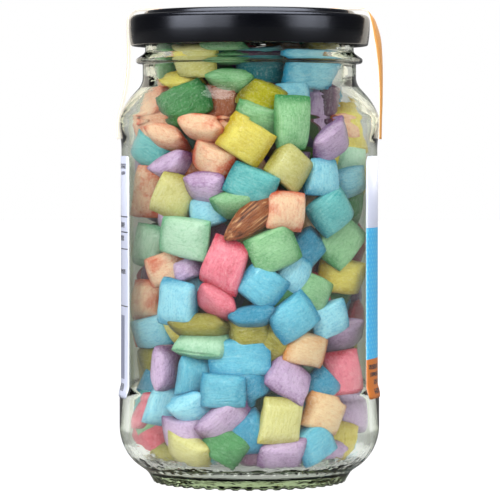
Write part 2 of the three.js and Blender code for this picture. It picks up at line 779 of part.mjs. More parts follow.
const model = new THREE.Group();
model.add(part("jar", glassGeometry(), 0xdfe8df, 0.05, 0, { transparent: true, opacity: 0.3 }));
model.add(part("lid", lidGeometry(), 0x101114, 0.2, 0.6));
model.add(part("label", labelGeometry(), 0xd5daec, 0.45, 0));
model.add(part("seal_strip", stripGeometry(), 0xcf8a3e, 0.6, 0));
model.add(part("candy_heap", heapGeometry(), 0xd9c9b0, 0.4, 0));
model.add(part("almond", almondShape().applyMatrix4(almondPlace), 0x9a5c34, 0.5, 0));

export default model;
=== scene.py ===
import math
import random

import bmesh
import bpy
from mathutils import Matrix, Vector, noise


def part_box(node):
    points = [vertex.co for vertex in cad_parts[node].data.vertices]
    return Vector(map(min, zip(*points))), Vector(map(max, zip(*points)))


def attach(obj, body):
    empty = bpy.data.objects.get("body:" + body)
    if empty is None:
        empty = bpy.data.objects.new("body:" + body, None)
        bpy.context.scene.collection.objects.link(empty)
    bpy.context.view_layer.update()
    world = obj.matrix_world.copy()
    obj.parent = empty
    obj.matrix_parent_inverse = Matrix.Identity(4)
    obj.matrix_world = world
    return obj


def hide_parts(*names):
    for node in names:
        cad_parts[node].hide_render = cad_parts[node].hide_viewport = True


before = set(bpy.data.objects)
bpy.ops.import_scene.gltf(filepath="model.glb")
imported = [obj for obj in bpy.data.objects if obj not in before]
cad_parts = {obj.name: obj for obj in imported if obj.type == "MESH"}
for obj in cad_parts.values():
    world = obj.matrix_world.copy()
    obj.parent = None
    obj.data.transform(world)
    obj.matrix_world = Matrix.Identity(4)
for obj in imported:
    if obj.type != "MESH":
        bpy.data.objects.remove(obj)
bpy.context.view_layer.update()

metres = 0.001
jarTop, lidTop = [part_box(node)[1].z / metres for node in ("jar", "lid")]
print(f"frame loaded, glass up to {jarTop:.2f} mm and lid up to {lidTop:.2f} mm")


# Small tools that every piece uses

# A hex colour as the linear values that the shaders work in.
def paint(code):
    shares = [int(code[place:place + 2], 16) / 255 for place in (1, 3, 5)]
    linear = [share / 12.92 if share <= 0.04045 else ((share + 0.055) / 1.055) ** 2.4 for share in shares]
    return (*linear, 1)


def blendShare(low, high, value):
    share = min(max((value - low) / (high - low), 0), 1)
    return share * share * (3 - 2 * share)


def addToScene(thing):
    bpy.context.scene.collection.objects.link(thing)


# Turns a mesh in millimetres into a piece of the object that rides on the jar.
def makePiece(name, bm, material, slotName, nodes=(), smooth=True, weld=0.001):
    bmesh.ops.remove_doubles(bm, verts=bm.verts[:], dist=weld)
    bmesh.ops.recalc_face_normals(bm, faces=bm.faces[:])
    bmesh.ops.scale(bm, vec=(metres, metres, metres), verts=bm.verts[:])
    mesh = bpy.data.meshes.new(name)
    for face in bm.faces:
        face.smooth = smooth
    bm.to_mesh(mesh)
    bm.free()
    mesh.materials.append(material)
    piece = bpy.data.objects.new(name, mesh)
    addToScene(piece)
    receivers = {"glass": litGlass, "lid_lacquer": litLid}.get(slotName, litPieces)
    receivers.objects.link(piece)
    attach(piece, "root")
    if nodes:
        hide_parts(*nodes)
    return piece


# A line of vertices through corners (radius, height, reach of the rounding), rounded ones bevelled.
def profileLine(bm, corners, segments=6):
    line = [bm.verts.new((corner[0], 0, corner[1])) for corner in corners]
    for lower, upper in zip(line, line[1:]):
        bm.edges.new((lower, upper))
    for vert, corner in zip(line, corners):
        if len(corner) > 2:
            bmesh.ops.bevel(
                bm, geom=[vert], offset=corner[2], segments=segments,
                profile=0.5, affect="VERTICES", material=-1,
            )


def spinProfile(bm, steps):
    bmesh.ops.spin(
        bm, geom=bm.verts[:] + bm.edges[:], cent=(0, 0, 0), axis=(0, 0, 1),
        angle=math.tau, steps=steps, use_merge=True,
    )


# Node building

def newMaterial(name):
    material = bpy.data.materials.new(name)
    material.use_nodes = True
    shader = material.node_tree.nodes["Principled BSDF"]
    return material, material.node_tree, shader


def addNode(tree, kind, settings=None, **values):
    node = tree.nodes.new(kind)
    for key, value in (settings or {}).items():
        setattr(node, key, value)
    setInputs(tree, node, values)
    return node


def setInput(tree, node, key, value):
    socket = node.inputs[int(key[1:])] if key[0] == "n" and key[1:].isdigit() else node.inputs[key]
    if isinstance(value, bpy.types.NodeSocket):
        tree.links.new(value, socket)
    else:
        socket.default_value = value


def setInputs(tree, node, values):
    for key, value in values.items():
        setInput(tree, node, key, value)


def mathNode(tree, operation, first, second=0.0, third=0.0, clamp=False):
    node = tree.nodes.new("ShaderNodeMath")
    node.operation = operation
    node.use_clamp = clamp
    for place, value in enumerate((first, second, third)):
        setInput(tree, node, f"n{place}", value)
    return node.outputs[0]


def mixColour(tree, share, first, second, blend="MIX"):
    node = tree.nodes.new("ShaderNodeMix")
    node.data_type = "RGBA"
    node.blend_type = blend
    for place, value in ((0, share), (6, first), (7, second)):
        setInput(tree, node, f"n{place}", value)
    return node.outputs[2]


def mapRange(tree, value, low, high, fromValue=0.0, toValue=1.0):
    node = addNode(tree, "ShaderNodeMapRange", {"interpolation_type": "SMOOTHSTEP"})
    for place, item in enumerate((value, low, high, fromValue, toValue)):
        setInput(tree, node, f"n{place}", item)
    return node.outputs[0]


def newGroup(name, inputs, outputs):
    group = bpy.data.node_groups.new(name, "ShaderNodeTree")
    for label, kind, value in inputs:
        socket = group.interface.new_socket(name=label, in_out="INPUT", socket_type=f"NodeSocket{kind}")
        if value is not None:
            socket.default_value = value
    for label, kind in outputs:
        group.interface.new_socket(name=label, in_out="OUTPUT", socket_type=f"NodeSocket{kind}")
    start = group.nodes.new("NodeGroupInput")
    end = group.nodes.new("NodeGroupOutput")
    return group, start, end


def placeGroup(tree, group, **values):
    node = tree.nodes.new("ShaderNodeGroup")
    node.node_tree = group
    setInputs(tree, node, values)
    return node


def ownPlace(tree):
    return addNode(tree, "ShaderNodeTexCoord").outputs["Object"]


def attribute(tree, name, output="Fac"):
    return addNode(tree, "ShaderNodeAttribute", {"attribute_name": name}).outputs[output]


def noiseAt(tree, place, scale, detail, **values):
    node = addNode(tree, "ShaderNodeTexNoise", Vector=place, Scale=scale, Detail=detail, **values)
    return node.outputs["Fac"]


def stretched(tree, place, scale):
    return addNode(tree, "ShaderNodeMapping", Vector=place, Scale=scale).outputs["Vector"]


def bumpNormal(tree, height, strength, distance):
    node = addNode(tree, "ShaderNodeBump", Strength=strength, Distance=distance, Height=height)
    return node.outputs["Normal"]


# The same value as red, green and blue
def greyOf(tree, value):
    node = tree.nodes.new("ShaderNodeCombineColor")
    for place in range(3):
        tree.links.new(value, node.inputs[place])
    return node.outputs[0]


# Camera, floor and light

view = {"distance": 827, "height": 91.2, "across": 0.17, "aimHeight": 63.66, "lens": 215.97}


def makeCamera():
    data = bpy.data.cameras.new("viewCamera")
    data.sensor_width = 36
    data.lens = view["lens"]
    data.clip_start = 0.05
    data.clip_end = 20
    camera = bpy.data.objects.new("viewCamera", data)
    place = Vector((view["across"], -view["distance"], view["height"])) * metres
    aim = Vector((view["across"], 0, view["aimHeight"])) * metres
    camera.location = place
    camera.rotation_euler = (aim - place).to_track_quat("-Z", "Y").to_euler()
    addToScene(camera)
    bpy.context.scene.camera = camera


# Each lamp lights one kind of piece only, so that no box of light is mirrored in the glass in front
# of the candies.
litPieces = bpy.data.collections.new("litPieces")
litLid = bpy.data.collections.new("litLid")
litGlass = bpy.data.collections.new("litGlass")

studio = {
    "backdrop": 1.0,
    "room": 0.16,
    "behindCamera": 0.06,
    "throughGlass": 0.62,  # the room's sides, where they are seen through clear glass alone
    "mirrored": 0.28,  # how much of the room the pieces mirror
    # how far a direction points away from the camera, from where a light starts to where it is full
    "behindTurn": (-0.97, -0.8),
    "backdropTurn": (0.75, 0.97),
    "sidesTurn": (-0.3, 0.4),
    # through the glass the floor shows a painted shadow, grey under the jar, and is white round it and
    # dimmer far from it
    "floorShadow": (28, 44),
    "floorShadowGlow": (0.42, 0.95),
    "floorReach": (90, 190),
    "floorReachGlow": (1.0, 0.42),
    "floorSize": 6000,
    "aimHeight": 65,
    "lidLampColour": (0.8, 0.85, 1),
    "boxes": [
        # name, place, width, height, watts, what it lights
        ("leftBox", (-900, -950, 420), 900, 900, 9, litPieces),
        ("rightBox", (820, -1020, 330), 700, 900, 8.5, litPieces),
        ("leftSide", (-1180, -650, 300), 600, 900, 7, litPieces),
        ("rightSide", (1180, -650, 300), 600, 900, 7, litPieces),
        ("frontBox", (0, -1500, 520), 1100, 700, 9, litPieces),
        ("topBox", (-200, -500, 1300), 900, 700, 13, litPieces),
        ("backBox", (250, 1300, 700), 1000, 800, 10, litPieces),
        ("glint", (-420, -900, 820), 150, 150, 4.5, litPieces),
        ("lidLeftWide", (-880, -760, 400), 1500, 640, 8.5, litLid),
        ("lidLeft", (-1010, -600, 400), 700, 640, 2.6, litLid),
        ("lidRightWide", (960, -600, 380), 900, 600, 4.4, litLid),
        ("lidRight", (920, -640, 380), 420, 600, 1.2, litLid),
        ("lidTop", (0, -60, 1300), 1800, 900, 24, litLid),
        ("glassTop", (-380, -150, 1300), 420, 260, 0.9, litGlass),
    ],
}


# A white backdrop behind the jar in a dimmer room, dark behind the camera. Seen directly it is
# white all round.
def makeRoom():
    world = bpy.data.worlds.new("paleRoom")
    world.use_nodes = True
    tree = world.node_tree
    heading = addNode(tree, "ShaderNodeTexCoord").outputs["Generated"]
    away = addNode(tree, "ShaderNodeSeparateXYZ", Vector=heading).outputs["Y"]
    room = mapRange(tree, away, *studio["behindTurn"], studio["behindCamera"], studio["room"])
    lit = mapRange(tree, away, *studio["backdropTurn"], room, studio["backdrop"])
    path = addNode(tree, "ShaderNodeLightPath").outputs
    mirrored = mapRange(tree, path["Is Glossy Ray"], 0.0, 1.0, 1.0, studio["mirrored"])
    lit = mathNode(tree, "MULTIPLY", lit, mirrored)
    # A ray that met nothing but glass sees brighter sides.
    clear = mathNode(tree, "SUBTRACT", path["Is Transmission Ray"], path["Diffuse Depth"], clamp=True)
    sides = mapRange(tree, away, *studio["sidesTurn"], 0.0, studio["throughGlass"])
    lit = mathNode(tree, "MAXIMUM", lit, mathNode(tree, "MULTIPLY", sides, clear))
    strength = mathNode(tree, "MAXIMUM", lit, path["Is Camera Ray"])
    setInputs(tree, tree.nodes["Background"], {"Color": (1, 1, 1, 1), "Strength": strength})
    bpy.context.scene.world = world


def makeLamps():
    for name, place, width, height, watts, receivers in studio["boxes"]:
        data = bpy.data.lights.new(name, "AREA")
        data.shape = "RECTANGLE"
        data.size = width * metres
        data.size_y = height * metres
        data.energy = watts
        data.color = studio["lidLampColour"] if receivers == litLid else (1, 1, 1)
        lamp = bpy.data.objects.new(name, data)
        lamp.location = Vector(place) * metres
        aim = Vector((0, 0, studio["aimHeight"])) * metres - lamp.location
        lamp.rotation_euler = aim.to_track_quat("-Z", "Y").to_euler()
        addToScene(lamp)
        lamp.light_linking.receiver_collection = receivers


# White where it is seen directly, and lit from below only where it is seen through the glass, with a painted
# shadow under the jar.
def makeFloor():
    material, tree, shader = newMaterial("paleFloor")
    path = addNode(tree, "ShaderNodeLightPath").outputs
    away = addNode(tree, "ShaderNodeVectorMath", {"operation": "LENGTH"}, n0=ownPlace(tree)).outputs["Value"]
    glow = path["Is Transmission Ray"]
    # The inner ring is a painted shadow under the jar.
    for ring in ("floorReach", "floorShadow"):
        near, far = [edge * metres for edge in studio[ring]]
        share = mapRange(tree, away, near, far, *studio[f"{ring}Glow"])
        glow = mathNode(tree, "MULTIPLY", glow, share)
    setInputs(tree, shader, {
        "Base Color": (0.9, 0.9, 0.9, 1),
        "Roughness": 0.7,
        "Specular IOR Level": 0.1,
        "Emission Color": (1, 1, 1, 1),
        "Emission Strength": mathNode(tree, "MAXIMUM", path["Is Camera Ray"], glow),
    })
    bm = bmesh.new()
    bmesh.ops.create_grid(bm, x_segments=1, y_segments=1, size=studio["floorSize"] / 2 * metres)
    mesh = bpy.data.meshes.new("floor")
    bm.to_mesh(mesh)
    bm.free()
    mesh.materials.append(material)
    floor = bpy.data.objects.new("floor", mesh)
    addToScene(floor)


bpy.context.scene.view_settings.view_transform = "Standard"
makeCamera()
makeRoom()
makeLamps()
makeFloor()
print("camera and light are up")


# Glass jar

glass = {
    "steps": 264,
    "bodyInner": 33.5,
    "neckInner": 26.3,
    "floorEdge": 4.3,
    "floorMiddle": 5.5,
    "heelInner": 9.5,
    "shoulder": [(99.6, 33.5), (102.7, 31.95), (109.6, 26.3)],  # height and radius of the inner wall
    "nubs": 44,
    "nubHeight": 0.35,
    "nubTop": 1.3,
    "nubsFrom": 24.2,  # radius
    "nubEdges": (0.35, 0.75),
    "clear": (0.985, 0.995, 0.985, 1),
    "edge": (0.54, 0.6, 0.42, 1),  # painted shade: olive darkening where the wall turns away from the view, above the foot
    "edgeShadeTurn": (0.6, 0.9),
    "edgeShadeFrom": (7, 13),
    "absorbed": (0.68, 0.84, 0.42, 1),
    "absorption": 26.0,
    # pressed glass: wavy in the base, a little from the shoulder up, clean in between
    "lowWaves": (6, 15),
    "highWaves": (98, 106),
    "highShare": 0.45,
    "waveScale": 190.0,
    "waveDepth": 0.42,
    "outside": [
        (0, 2.7), (19.5, 2.2), (24.1, 0.5, 0.4), (24.6, 0), (25.2, 0), (26.0, 0), (26.5, 0),
        (27.0, 1.0), (28.3, 3.05, 0.8), (31.6, 5.3, 0.9), (35.85, 10.3, 4.4), (35.85, 24.4, 0.7),
        (35.22, 26.2, 0.8), (35.22, 93.0, 1.6), (35.9, 97.4, 2.0), (35.9, 99.95, 2.2),
        (33.9, 104.4, 2.4), (29.35, 109.4, 1.6), (29.35, 114.9, 0.5), (31.0, 114.95, 0.5),
        (31.25, 116.1, 0.5), (28.7, 117.9, 0.6), (28.7, 121.0, 0.4), (30.2, 121.8, 0.4),
        (30.2, 122.8, 0.4), (28.7, 123.8, 0.4), (28.7, 128.1, 0.9),
    ],
    "inside": [
        (26.3, 128.1, 0.9), (26.3, 109.6, 2.4), (31.95, 102.7, 2.6), (33.5, 99.6, 2.2),
        (33.5, 4.3, 9.5), (0, 5.5),
    ],
}


def glassMaterial():
    material, tree, shader = newMaterial("clearGlass")
    place = ownPlace(tree)
    height = addNode(tree, "ShaderNodeSeparateXYZ", Vector=place).outputs["Z"]

    def above(limits):
        return mapRange(tree, height, limits[0] * metres, limits[1] * metres)

    # Painted shade: the wall is tinted darker olive where it turns away from the view, above the foot.
    turned = addNode(tree, "ShaderNodeLayerWeight", Blend=0.5).outputs["Facing"]
    edge = mathNode(tree, "MULTIPLY", mapRange(tree, turned, *glass["edgeShadeTurn"]), above(glass["edgeShadeFrom"]))
    low = mathNode(tree, "SUBTRACT", 1.0, above(glass["lowWaves"]))
    high = mathNode(tree, "MULTIPLY", above(glass["highWaves"]), glass["highShare"])
    wavy = mathNode(tree, "MAXIMUM", low, high)
    wave = noiseAt(tree, stretched(tree, place, (1, 1, 2.4)), glass["waveScale"], 2.0)
    setInputs(tree, shader, {
        "Base Color": mixColour(tree, edge, glass["clear"], glass["edge"]),
        "Roughness": 0.0,
        "IOR": 1.5,
        "Transmission Weight": 1.0,
        "Normal": bumpNormal(tree, mathNode(tree, "MULTIPLY", wave, wavy), 0.5, glass["waveDepth"] * metres),
    })
    # Lamps shine through the wall, slightly dimmed by the glass.
    through = addNode(tree, "ShaderNodeBsdfTransparent", Color=(0.93, 0.95, 0.93, 1))
    path = addNode(tree, "ShaderNodeLightPath")
    mixer = addNode(tree, "ShaderNodeMixShader", n0=path.outputs["Is Shadow Ray"])
    tree.links.new(shader.outputs["BSDF"], mixer.inputs[1])
    tree.links.new(through.outputs["BSDF"], mixer.inputs[2])
    output = tree.nodes["Material Output"]
    tree.links.new(mixer.outputs["Shader"], output.inputs["Surface"])
    tint = addNode(tree, "ShaderNodeVolumeAbsorption", Color=glass["absorbed"], Density=glass["absorption"])
    tree.links.new(tint.outputs["Volume"], output.inputs["Volume"])
    return material


def makeGlass():
    bm = bmesh.new()
    profileLine(bm, glass["outside"] + glass["inside"])
    spinProfile(bm, glass["steps"])
    # Knurled foot: the ring is lifted between the small nubs that the jar stands on.
    for vert in bm.verts:
        reach = math.hypot(vert.co.x, vert.co.y)
        if vert.co.z < glass["nubTop"] and reach > glass["nubsFrom"]:
            wave = 0.5 + 0.5 * math.cos(glass["nubs"] * math.atan2(vert.co.x, -vert.co.y))
            fade = 1 - vert.co.z / glass["nubTop"]
            vert.co.z += glass["nubHeight"] * (1 - blendShare(*glass["nubEdges"], wave)) * fade
    return makePiece("glassJar", bm, glassMaterial(), "glass", ["jar"])


makeGlass()
print("glass is made")


# Radius of the room inside the glass at a height.
def roomRadius(height):
    heelTop = glass["floorEdge"] + glass["heelInner"]
    if height < heelTop:
        drop = min(heelTop - height, glass["heelInner"])
        return glass["bodyInner"] - glass["heelInner"] + math.sqrt(glass["heelInner"] ** 2 - drop ** 2)
    for (low, wide), (high, narrow) in zip(glass["shoulder"], glass["shoulder"][1:]):
        if low < height <= high:
            return wide + (narrow - wide) * (height - low) / (high - low) - 0.15
    return glass["bodyInner"] if height < glass["shoulder"][0][0] else glass["neckInner"]


# Lid

lid = {
    "steps": 160,
    "lacquer": ("#05060a", "#0a0c14"),
    "outside": [
        (31.9, 119.8, 0.15), (32.6, 119.85, 0.35), (33.0, 122.2, 1.6), (33.12, 125.2, 1.4),
        (33.05, 127.6, 0.9), (31.9, 128.15, 0.5), (29.5, 128.1, 0.35), (28.75, 129.0, 0.3),
        (28.2, 129.4, 0.4), (26.5, 129.4, 0.4), (25.0, 129.15, 0.6), (0, 129.15),
    ],
    "inside": [
        (0, 128.45), (29.05, 128.45), (29.8, 127.35), (32.3, 126.7, 0.9), (31.9, 121.6),
        (31.4, 120.9), (31.4, 120.2, 0.2), (31.9, 119.8, 0.15),
    ],
}


def lidMaterial():
    material, tree, shader = newMaterial("blackLacquer")
    place = ownPlace(tree)
    cloud = noiseAt(tree, place, 90.0, 3.0)
    grain = noiseAt(tree, place, 1800.0, 2.0)
    setInputs(tree, shader, {
        "Base Color": mixColour(tree, cloud, *[paint(code) for code in lid["lacquer"]]),
        "Roughness": mapRange(tree, cloud, 0.3, 0.7, 0.2, 0.26),
        "IOR": 1.5,
        "Coat Weight": 0.25,
        "Coat Roughness": 0.16,
        "Normal": bumpNormal(tree, grain, 0.08, 0.0002),
    })
    return material


def makeLid():
    bm = bmesh.new()
    profileLine(bm, lid["inside"][:-1] + lid["outside"], 5)
    spinProfile(bm, lid["steps"])
    return makePiece("blackLid", bm, lidMaterial(), "lid_lacquer", ["lid"])


makeLid()
print("lid is made")


# Label

label = {
    "radius": 35.28,
    "thickness": 0.14,
    "bottom": 23.5,
    "top": 89.6,
    "rightEnd": 63.5,
    "leftEnd": 292.7,
    "corner": 2.2,
    "columns": 100,
    # the lower edge laps over the glass's bulge: by how much, between which heights, in which rows
    "lap": 0.68,
    "lapHeights": (24.0, 27.4),
    "lapRows": [0.8, 1.4, 2.0, 2.6, 3.3],
}
labelLength = math.radians(label["leftEnd"] - label["rightEnd"]) * label["radius"]
labelHeight = label["top"] - label["bottom"]


# A soft-edged field of a flat pattern, from low to high on both axes.
def fieldGroup():
    group, start, end = newGroup(
        "printField",
        [("Vector", "Vector", None), ("Left", "Float", 0.0), ("Right", "Float", 1.0),
         ("Low", "Float", 0.0), ("High", "Float", 1.0)],
        [("Mask", "Float")],
    )
    parts = addNode(group, "ShaderNodeSeparateXYZ", Vector=start.outputs["Vector"])
    masks = []
    for axis, low, high in ((0, "Left", "Right"), (1, "Low", "High")):
        above = mathNode(group, "GREATER_THAN", parts.outputs[axis], start.outputs[low])
        below = mathNode(group, "LESS_THAN", parts.outputs[axis], start.outputs[high])
        masks.append(mathNode(group, "MULTIPLY", above, below))
    mask = mathNode(group, "MULTIPLY", *masks)
    group.links.new(mask, end.inputs["Mask"])
    return group


printField = fieldGroup()

labelPrint = {
    "paper": "#d4d9ee",
    "whitePaper": "#d6dbf0",
    "sky": "#46bdf6",
    "skyDots": "#86d4fa",
    "clay": "#d47a34",
    "ink": "#2b2d3a",
    "ruleInk": "#3d3f4c",
    "shade": "#777c96",
    "inside": "#dfdfdc",
    "insidePaintedGlow": "#7f837c",  # painted glow on the inside face, standing in for a little light coming through the paper
    "dotScale": 0.6,
    "dotSize": 0.22,
    "breakScale": 2.4,
    "breakShare": 0.43,
    "skyBottom": 10.9,
    "skyTop": 46.6,
    "panelFrom": 118.0,
    "rows": [
        # from the left end inwards: start, end, low, high
        (2.6, 12.5, 62.6, 64.0), (3.2, 9.0, 61.0, 61.9), (4.0, 14.0, 46.6, 48.0), (4.6, 14.0, 43.0, 44.4),
        (3.0, 14.0, 34.0, 35.2), (4.6, 12.0, 1.9, 3.9),
    ],
    "rules": [49.4, 45.2, 40.6, 25.0],  # heights
    "ruleReach": (1, 21),
    "ruleWidth": 0.3,
    "columns": [
        # from the left end inwards, low, high, and share of the darker shade
        (4.2, 10.2, 5.2, 22.6, 0.8), (4.2, 5.2, 5.2, 22.6, 0.9), (9.6, 10.6, 26.0, 60.0, 0.3),
    ],
    "rightRows": [
        # from the right end inwards: start, end, low, high
        (1.6, 12.0, 8.0, 9.4), (2.6, 12.0, 6.0, 7.2), (6.0, 12.0, 3.8, 5.1), (5.4, 12.0, 1.2, 2.6),
    ],
}


def labelMaterial():
    material, tree, shader = newMaterial("labelPaper")
    flat = addNode(tree, "ShaderNodeUVMap", {"uv_map": "labelMap"}).outputs["UV"]
    place = stretched(tree, flat, (labelLength, labelHeight, 1))

    def field(left, right, low, high):
        node = placeGroup(tree, printField, Vector=place, Left=left, Right=right, Low=low, High=high)
        return node.outputs["Mask"]

    def fromLeft(start, end):
        return labelLength - end, labelLength - start

    split = labelPrint["panelFrom"]
    far = 200  # past every edge of the label
    whitePanel = field(split, far, -far, far)
    tone = mixColour(tree, whitePanel, paint(labelPrint["whitePaper"]), paint(labelPrint["paper"]))
    # Pale dots on the blue field, in a staggered grid.
    slanted = addNode(tree, "ShaderNodeMapping", Vector=place, Rotation=(0, 0, math.radians(45)))
    dots = addNode(
        tree, "ShaderNodeTexVoronoi", Vector=slanted.outputs["Vector"], Scale=labelPrint["dotScale"],
        Randomness=0.0,
    )
    dotMask = mathNode(tree, "LESS_THAN", dots.outputs["Distance"], labelPrint["dotSize"])
    blue = mixColour(tree, dotMask, paint(labelPrint["sky"]), paint(labelPrint["skyDots"]))
    skyMask = field(-far, split, labelPrint["skyBottom"], labelPrint["skyTop"])
    tone = mixColour(tree, skyMask, tone, blue)
    clayMask = field(-far, split, -far, labelPrint["skyBottom"])
    tone = mixColour(tree, clayMask, tone, paint(labelPrint["clay"]))
    # Columns, rules and broken bars of darker ink at the two ends.
    breaks = noiseAt(tree, place, labelPrint["breakScale"], 0.0)
    gaps = mathNode(tree, "GREATER_THAN", breaks, labelPrint["breakShare"])
    for start, end, low, high, share in labelPrint["columns"]:
        column = mathNode(tree, "MULTIPLY", field(*fromLeft(start, end), low, high), share)
        tone = mixColour(tree, column, tone, paint(labelPrint["shade"]))
    for height in labelPrint["rules"]:
        rule = field(*fromLeft(*labelPrint["ruleReach"]), height, height + labelPrint["ruleWidth"])
        tone = mixColour(tree, rule, tone, paint(labelPrint["ruleInk"]))
    rows = [(*fromLeft(start, end), low, high) for start, end, low, high in labelPrint["rows"]]
    for row in rows + labelPrint["rightRows"]:
        mask = mathNode(tree, "MULTIPLY", field(*row), gaps)
        tone = mixColour(tree, mask, tone, paint(labelPrint["ink"]))
    fibre = noiseAt(tree, place, 1.6, 4.0)
    worn = mathNode(tree, "MULTIPLY_ADD", fibre, 0.06, 0.97)
    tone = mixColour(tree, 1.0, tone, greyOf(tree, worn), "MULTIPLY")
    outer = attribute(tree, "outerSide")
    setInputs(tree, shader, {
        "Base Color": mixColour(tree, outer, paint(labelPrint["inside"]), tone),
        "Roughness": 0.42,
        "Coat Weight": 0.25,
        "Coat Roughness": 0.25,
        # Painted glow: the inside face glows faintly, standing in for light through the paper; the outer
        # face does not glow.
        "Emission Color": mixColour(tree, outer, paint(labelPrint["insidePaintedGlow"]), paint("#000000")),
        "Emission Strength": 1.0,
        "Normal": bumpNormal(tree, fibre, 0.15, 0.0001),
    })
    return material


# Bends a flat strip that lies in XY round the Z axis.
def bendRound(bm, radius, startAngle):
    for vert in bm.verts:
        angle = startAngle + vert.co.x / radius
        reach = radius + vert.co.z
        vert.co = (reach * math.sin(angle), -reach * math.cos(angle), vert.co.y)


def makeLabel():
    bm = bmesh.new()
    bmesh.ops.create_grid(bm, x_segments=label["columns"], y_segments=3, size=0.5)
    bmesh.ops.scale(bm, vec=(labelLength, labelHeight, 1), verts=bm.verts[:])
    bmesh.ops.translate(bm, vec=(labelLength / 2, labelHeight / 2, 0), verts=bm.verts[:])
    corners = [vert for vert in bm.verts if len(vert.link_edges) == 2]
    bmesh.ops.bevel(
        bm, geom=corners, offset=label["corner"], segments=5, profile=0.5, affect="VERTICES",
        clamp_overlap=False, material=-1,
    )
    for row in label["lapRows"]:
        bmesh.ops.bisect_plane(
            bm, geom=bm.verts[:] + bm.edges[:] + bm.faces[:], plane_co=(0, row, 0), plane_no=(0, 1, 0),
        )
    uv = bm.loops.layers.uv.new("labelMap")
    for face in bm.faces:
        for loop in face.loops:
            loop[uv].uv = (loop.vert.co.x / labelLength, loop.vert.co.y / labelHeight)
    bmesh.ops.solidify(bm, geom=bm.faces[:], thickness=label["thickness"])
    lowest = min(vert.co.z for vert in bm.verts)
    outerSide = bm.verts.layers.float.new("outerSide")
    for vert in bm.verts:
        vert[outerSide] = vert.co.z > lowest + label["thickness"] / 2
    bmesh.ops.translate(bm, vec=(0, label["bottom"], -lowest), verts=bm.verts[:])
    for vert in bm.verts:
        vert.co.z += label["lap"] * (1 - blendShare(*label["lapHeights"], vert.co.y))
    bendRound(bm, label["radius"], math.radians(label["rightEnd"]))
    return makePiece("paperLabel", bm, labelMaterial(), "label_paper", ["label"])


makeLabel()
print("label is made")


# Paper strip over the lid

strip = {
    "width": 12,
    "thickness": 0.2,
    "slant": 0.061,  # how far the middle line drifts towards the front per millimetre to the right
    "steps": 110,
    "paper": ("#cf8a3c", "#ecb066"),
    "litLeftLeg": "#f4dcba",
    "litLeftFrom": (-28, -33),  # painted light: the outer face turns paler along X, down the left leg
    "inside": "#f3eee2",
    "insidePaintedGlow": "#e4ded4",  # painted glow on the inside face, standing in for light from behind coming through the pale paper
    # painted glow on the outer face, a faint orange
    "outsidePaintedGlow": "#3a1e08",
    # reach from the jar's axis and height, along the front edge and the back edge
    "front": [
        (-36.33, 94.2), (-36.33, 99.2), (-35.3, 103.6), (-34.0, 109.5), (-33.45, 115.5), (-33.5, 125.6),
        (-33.2, 128.0), (-31.2, 129.6), (-28, 129.78), (0, 129.78), (28, 129.78), (31.4, 129.6),
        (33.3, 128.2), (34.3, 125.5), (35.0, 121.5), (35.6, 118.0), (36.2, 112), (36.45, 105),
        (36.38, 99.2), (36.33, 94.2),
    ],
    "back": [
        (-36.33, 94.2), (-36.33, 99.2), (-35.7, 103.6), (-34.5, 109.5), (-33.95, 115.5), (-33.9, 125.6),
        (-33.4, 128.0), (-31.2, 129.6), (-28, 129.78), (0, 129.78), (28, 129.78), (31.9, 129.75),
        (34.3, 127.7), (35.4, 125.5), (36.4, 122.2), (36.8, 118.0), (36.85, 112), (36.7, 105),
        (36.42, 99.2), (36.33, 94.2),
    ],
}


# A point and direction along a smooth line through given points.
def routePoint(points, share):
    spot = share * (len(points) - 1)
    index = min(int(spot), len(points) - 2)
    part = spot - index
    before, start, end, after = [
        Vector(points[min(max(index + step, 0), len(points) - 1)]) for step in (-1, 0, 1, 2)
    ]
    pull = (end - before) / 2
    push = (after - start) / 2
    place = (
        start * (2 * part ** 3 - 3 * part ** 2 + 1) + pull * (part ** 3 - 2 * part ** 2 + part)
        + end * (3 * part ** 2 - 2 * part ** 3) + push * (part ** 3 - part ** 2)
    )
    heading = (
        start * (6 * part ** 2 - 6 * part) + pull * (3 * part ** 2 - 4 * part + 1)
        + end * (6 * part - 6 * part ** 2) + push * (3 * part ** 2 - 2 * part)
    )
    return place, heading.normalized()


def stripMaterial():
    material, tree, shader = newMaterial("stripPaper")
    place = ownPlace(tree)
    deep, pale = [paint(code) for code in strip["paper"]]
    tone = mixColour(tree, noiseAt(tree, place, 60.0, 4.0), deep, pale)
    # Painted light: the outer face is painted paler down the left leg.
    side = addNode(tree, "ShaderNodeSeparateXYZ", Vector=place).outputs["X"]
    fade = mapRange(tree, side, *[edge * metres for edge in strip["litLeftFrom"]])
    tone = mixColour(tree, fade, tone, paint(strip["litLeftLeg"]))
    outer = attribute(tree, "outerSide")
    fibre = noiseAt(tree, place, 900.0, 3.0)
    setInputs(tree, shader, {
        "Base Color": mixColour(tree, outer, paint(strip["inside"]), tone),
        "Roughness": mapRange(tree, fibre, 0.3, 0.7, 0.45, 0.62),
        # Painted glow: both faces of the strip glow, the inside pale and the outside faint orange.
        "Emission Color": mixColour(tree, outer, paint(strip["insidePaintedGlow"]), paint(strip["outsidePaintedGlow"])),
        "Emission Strength": 1.0,
        "Normal": bumpNormal(tree, fibre, 0.2, 0.0002),
    })
    return material


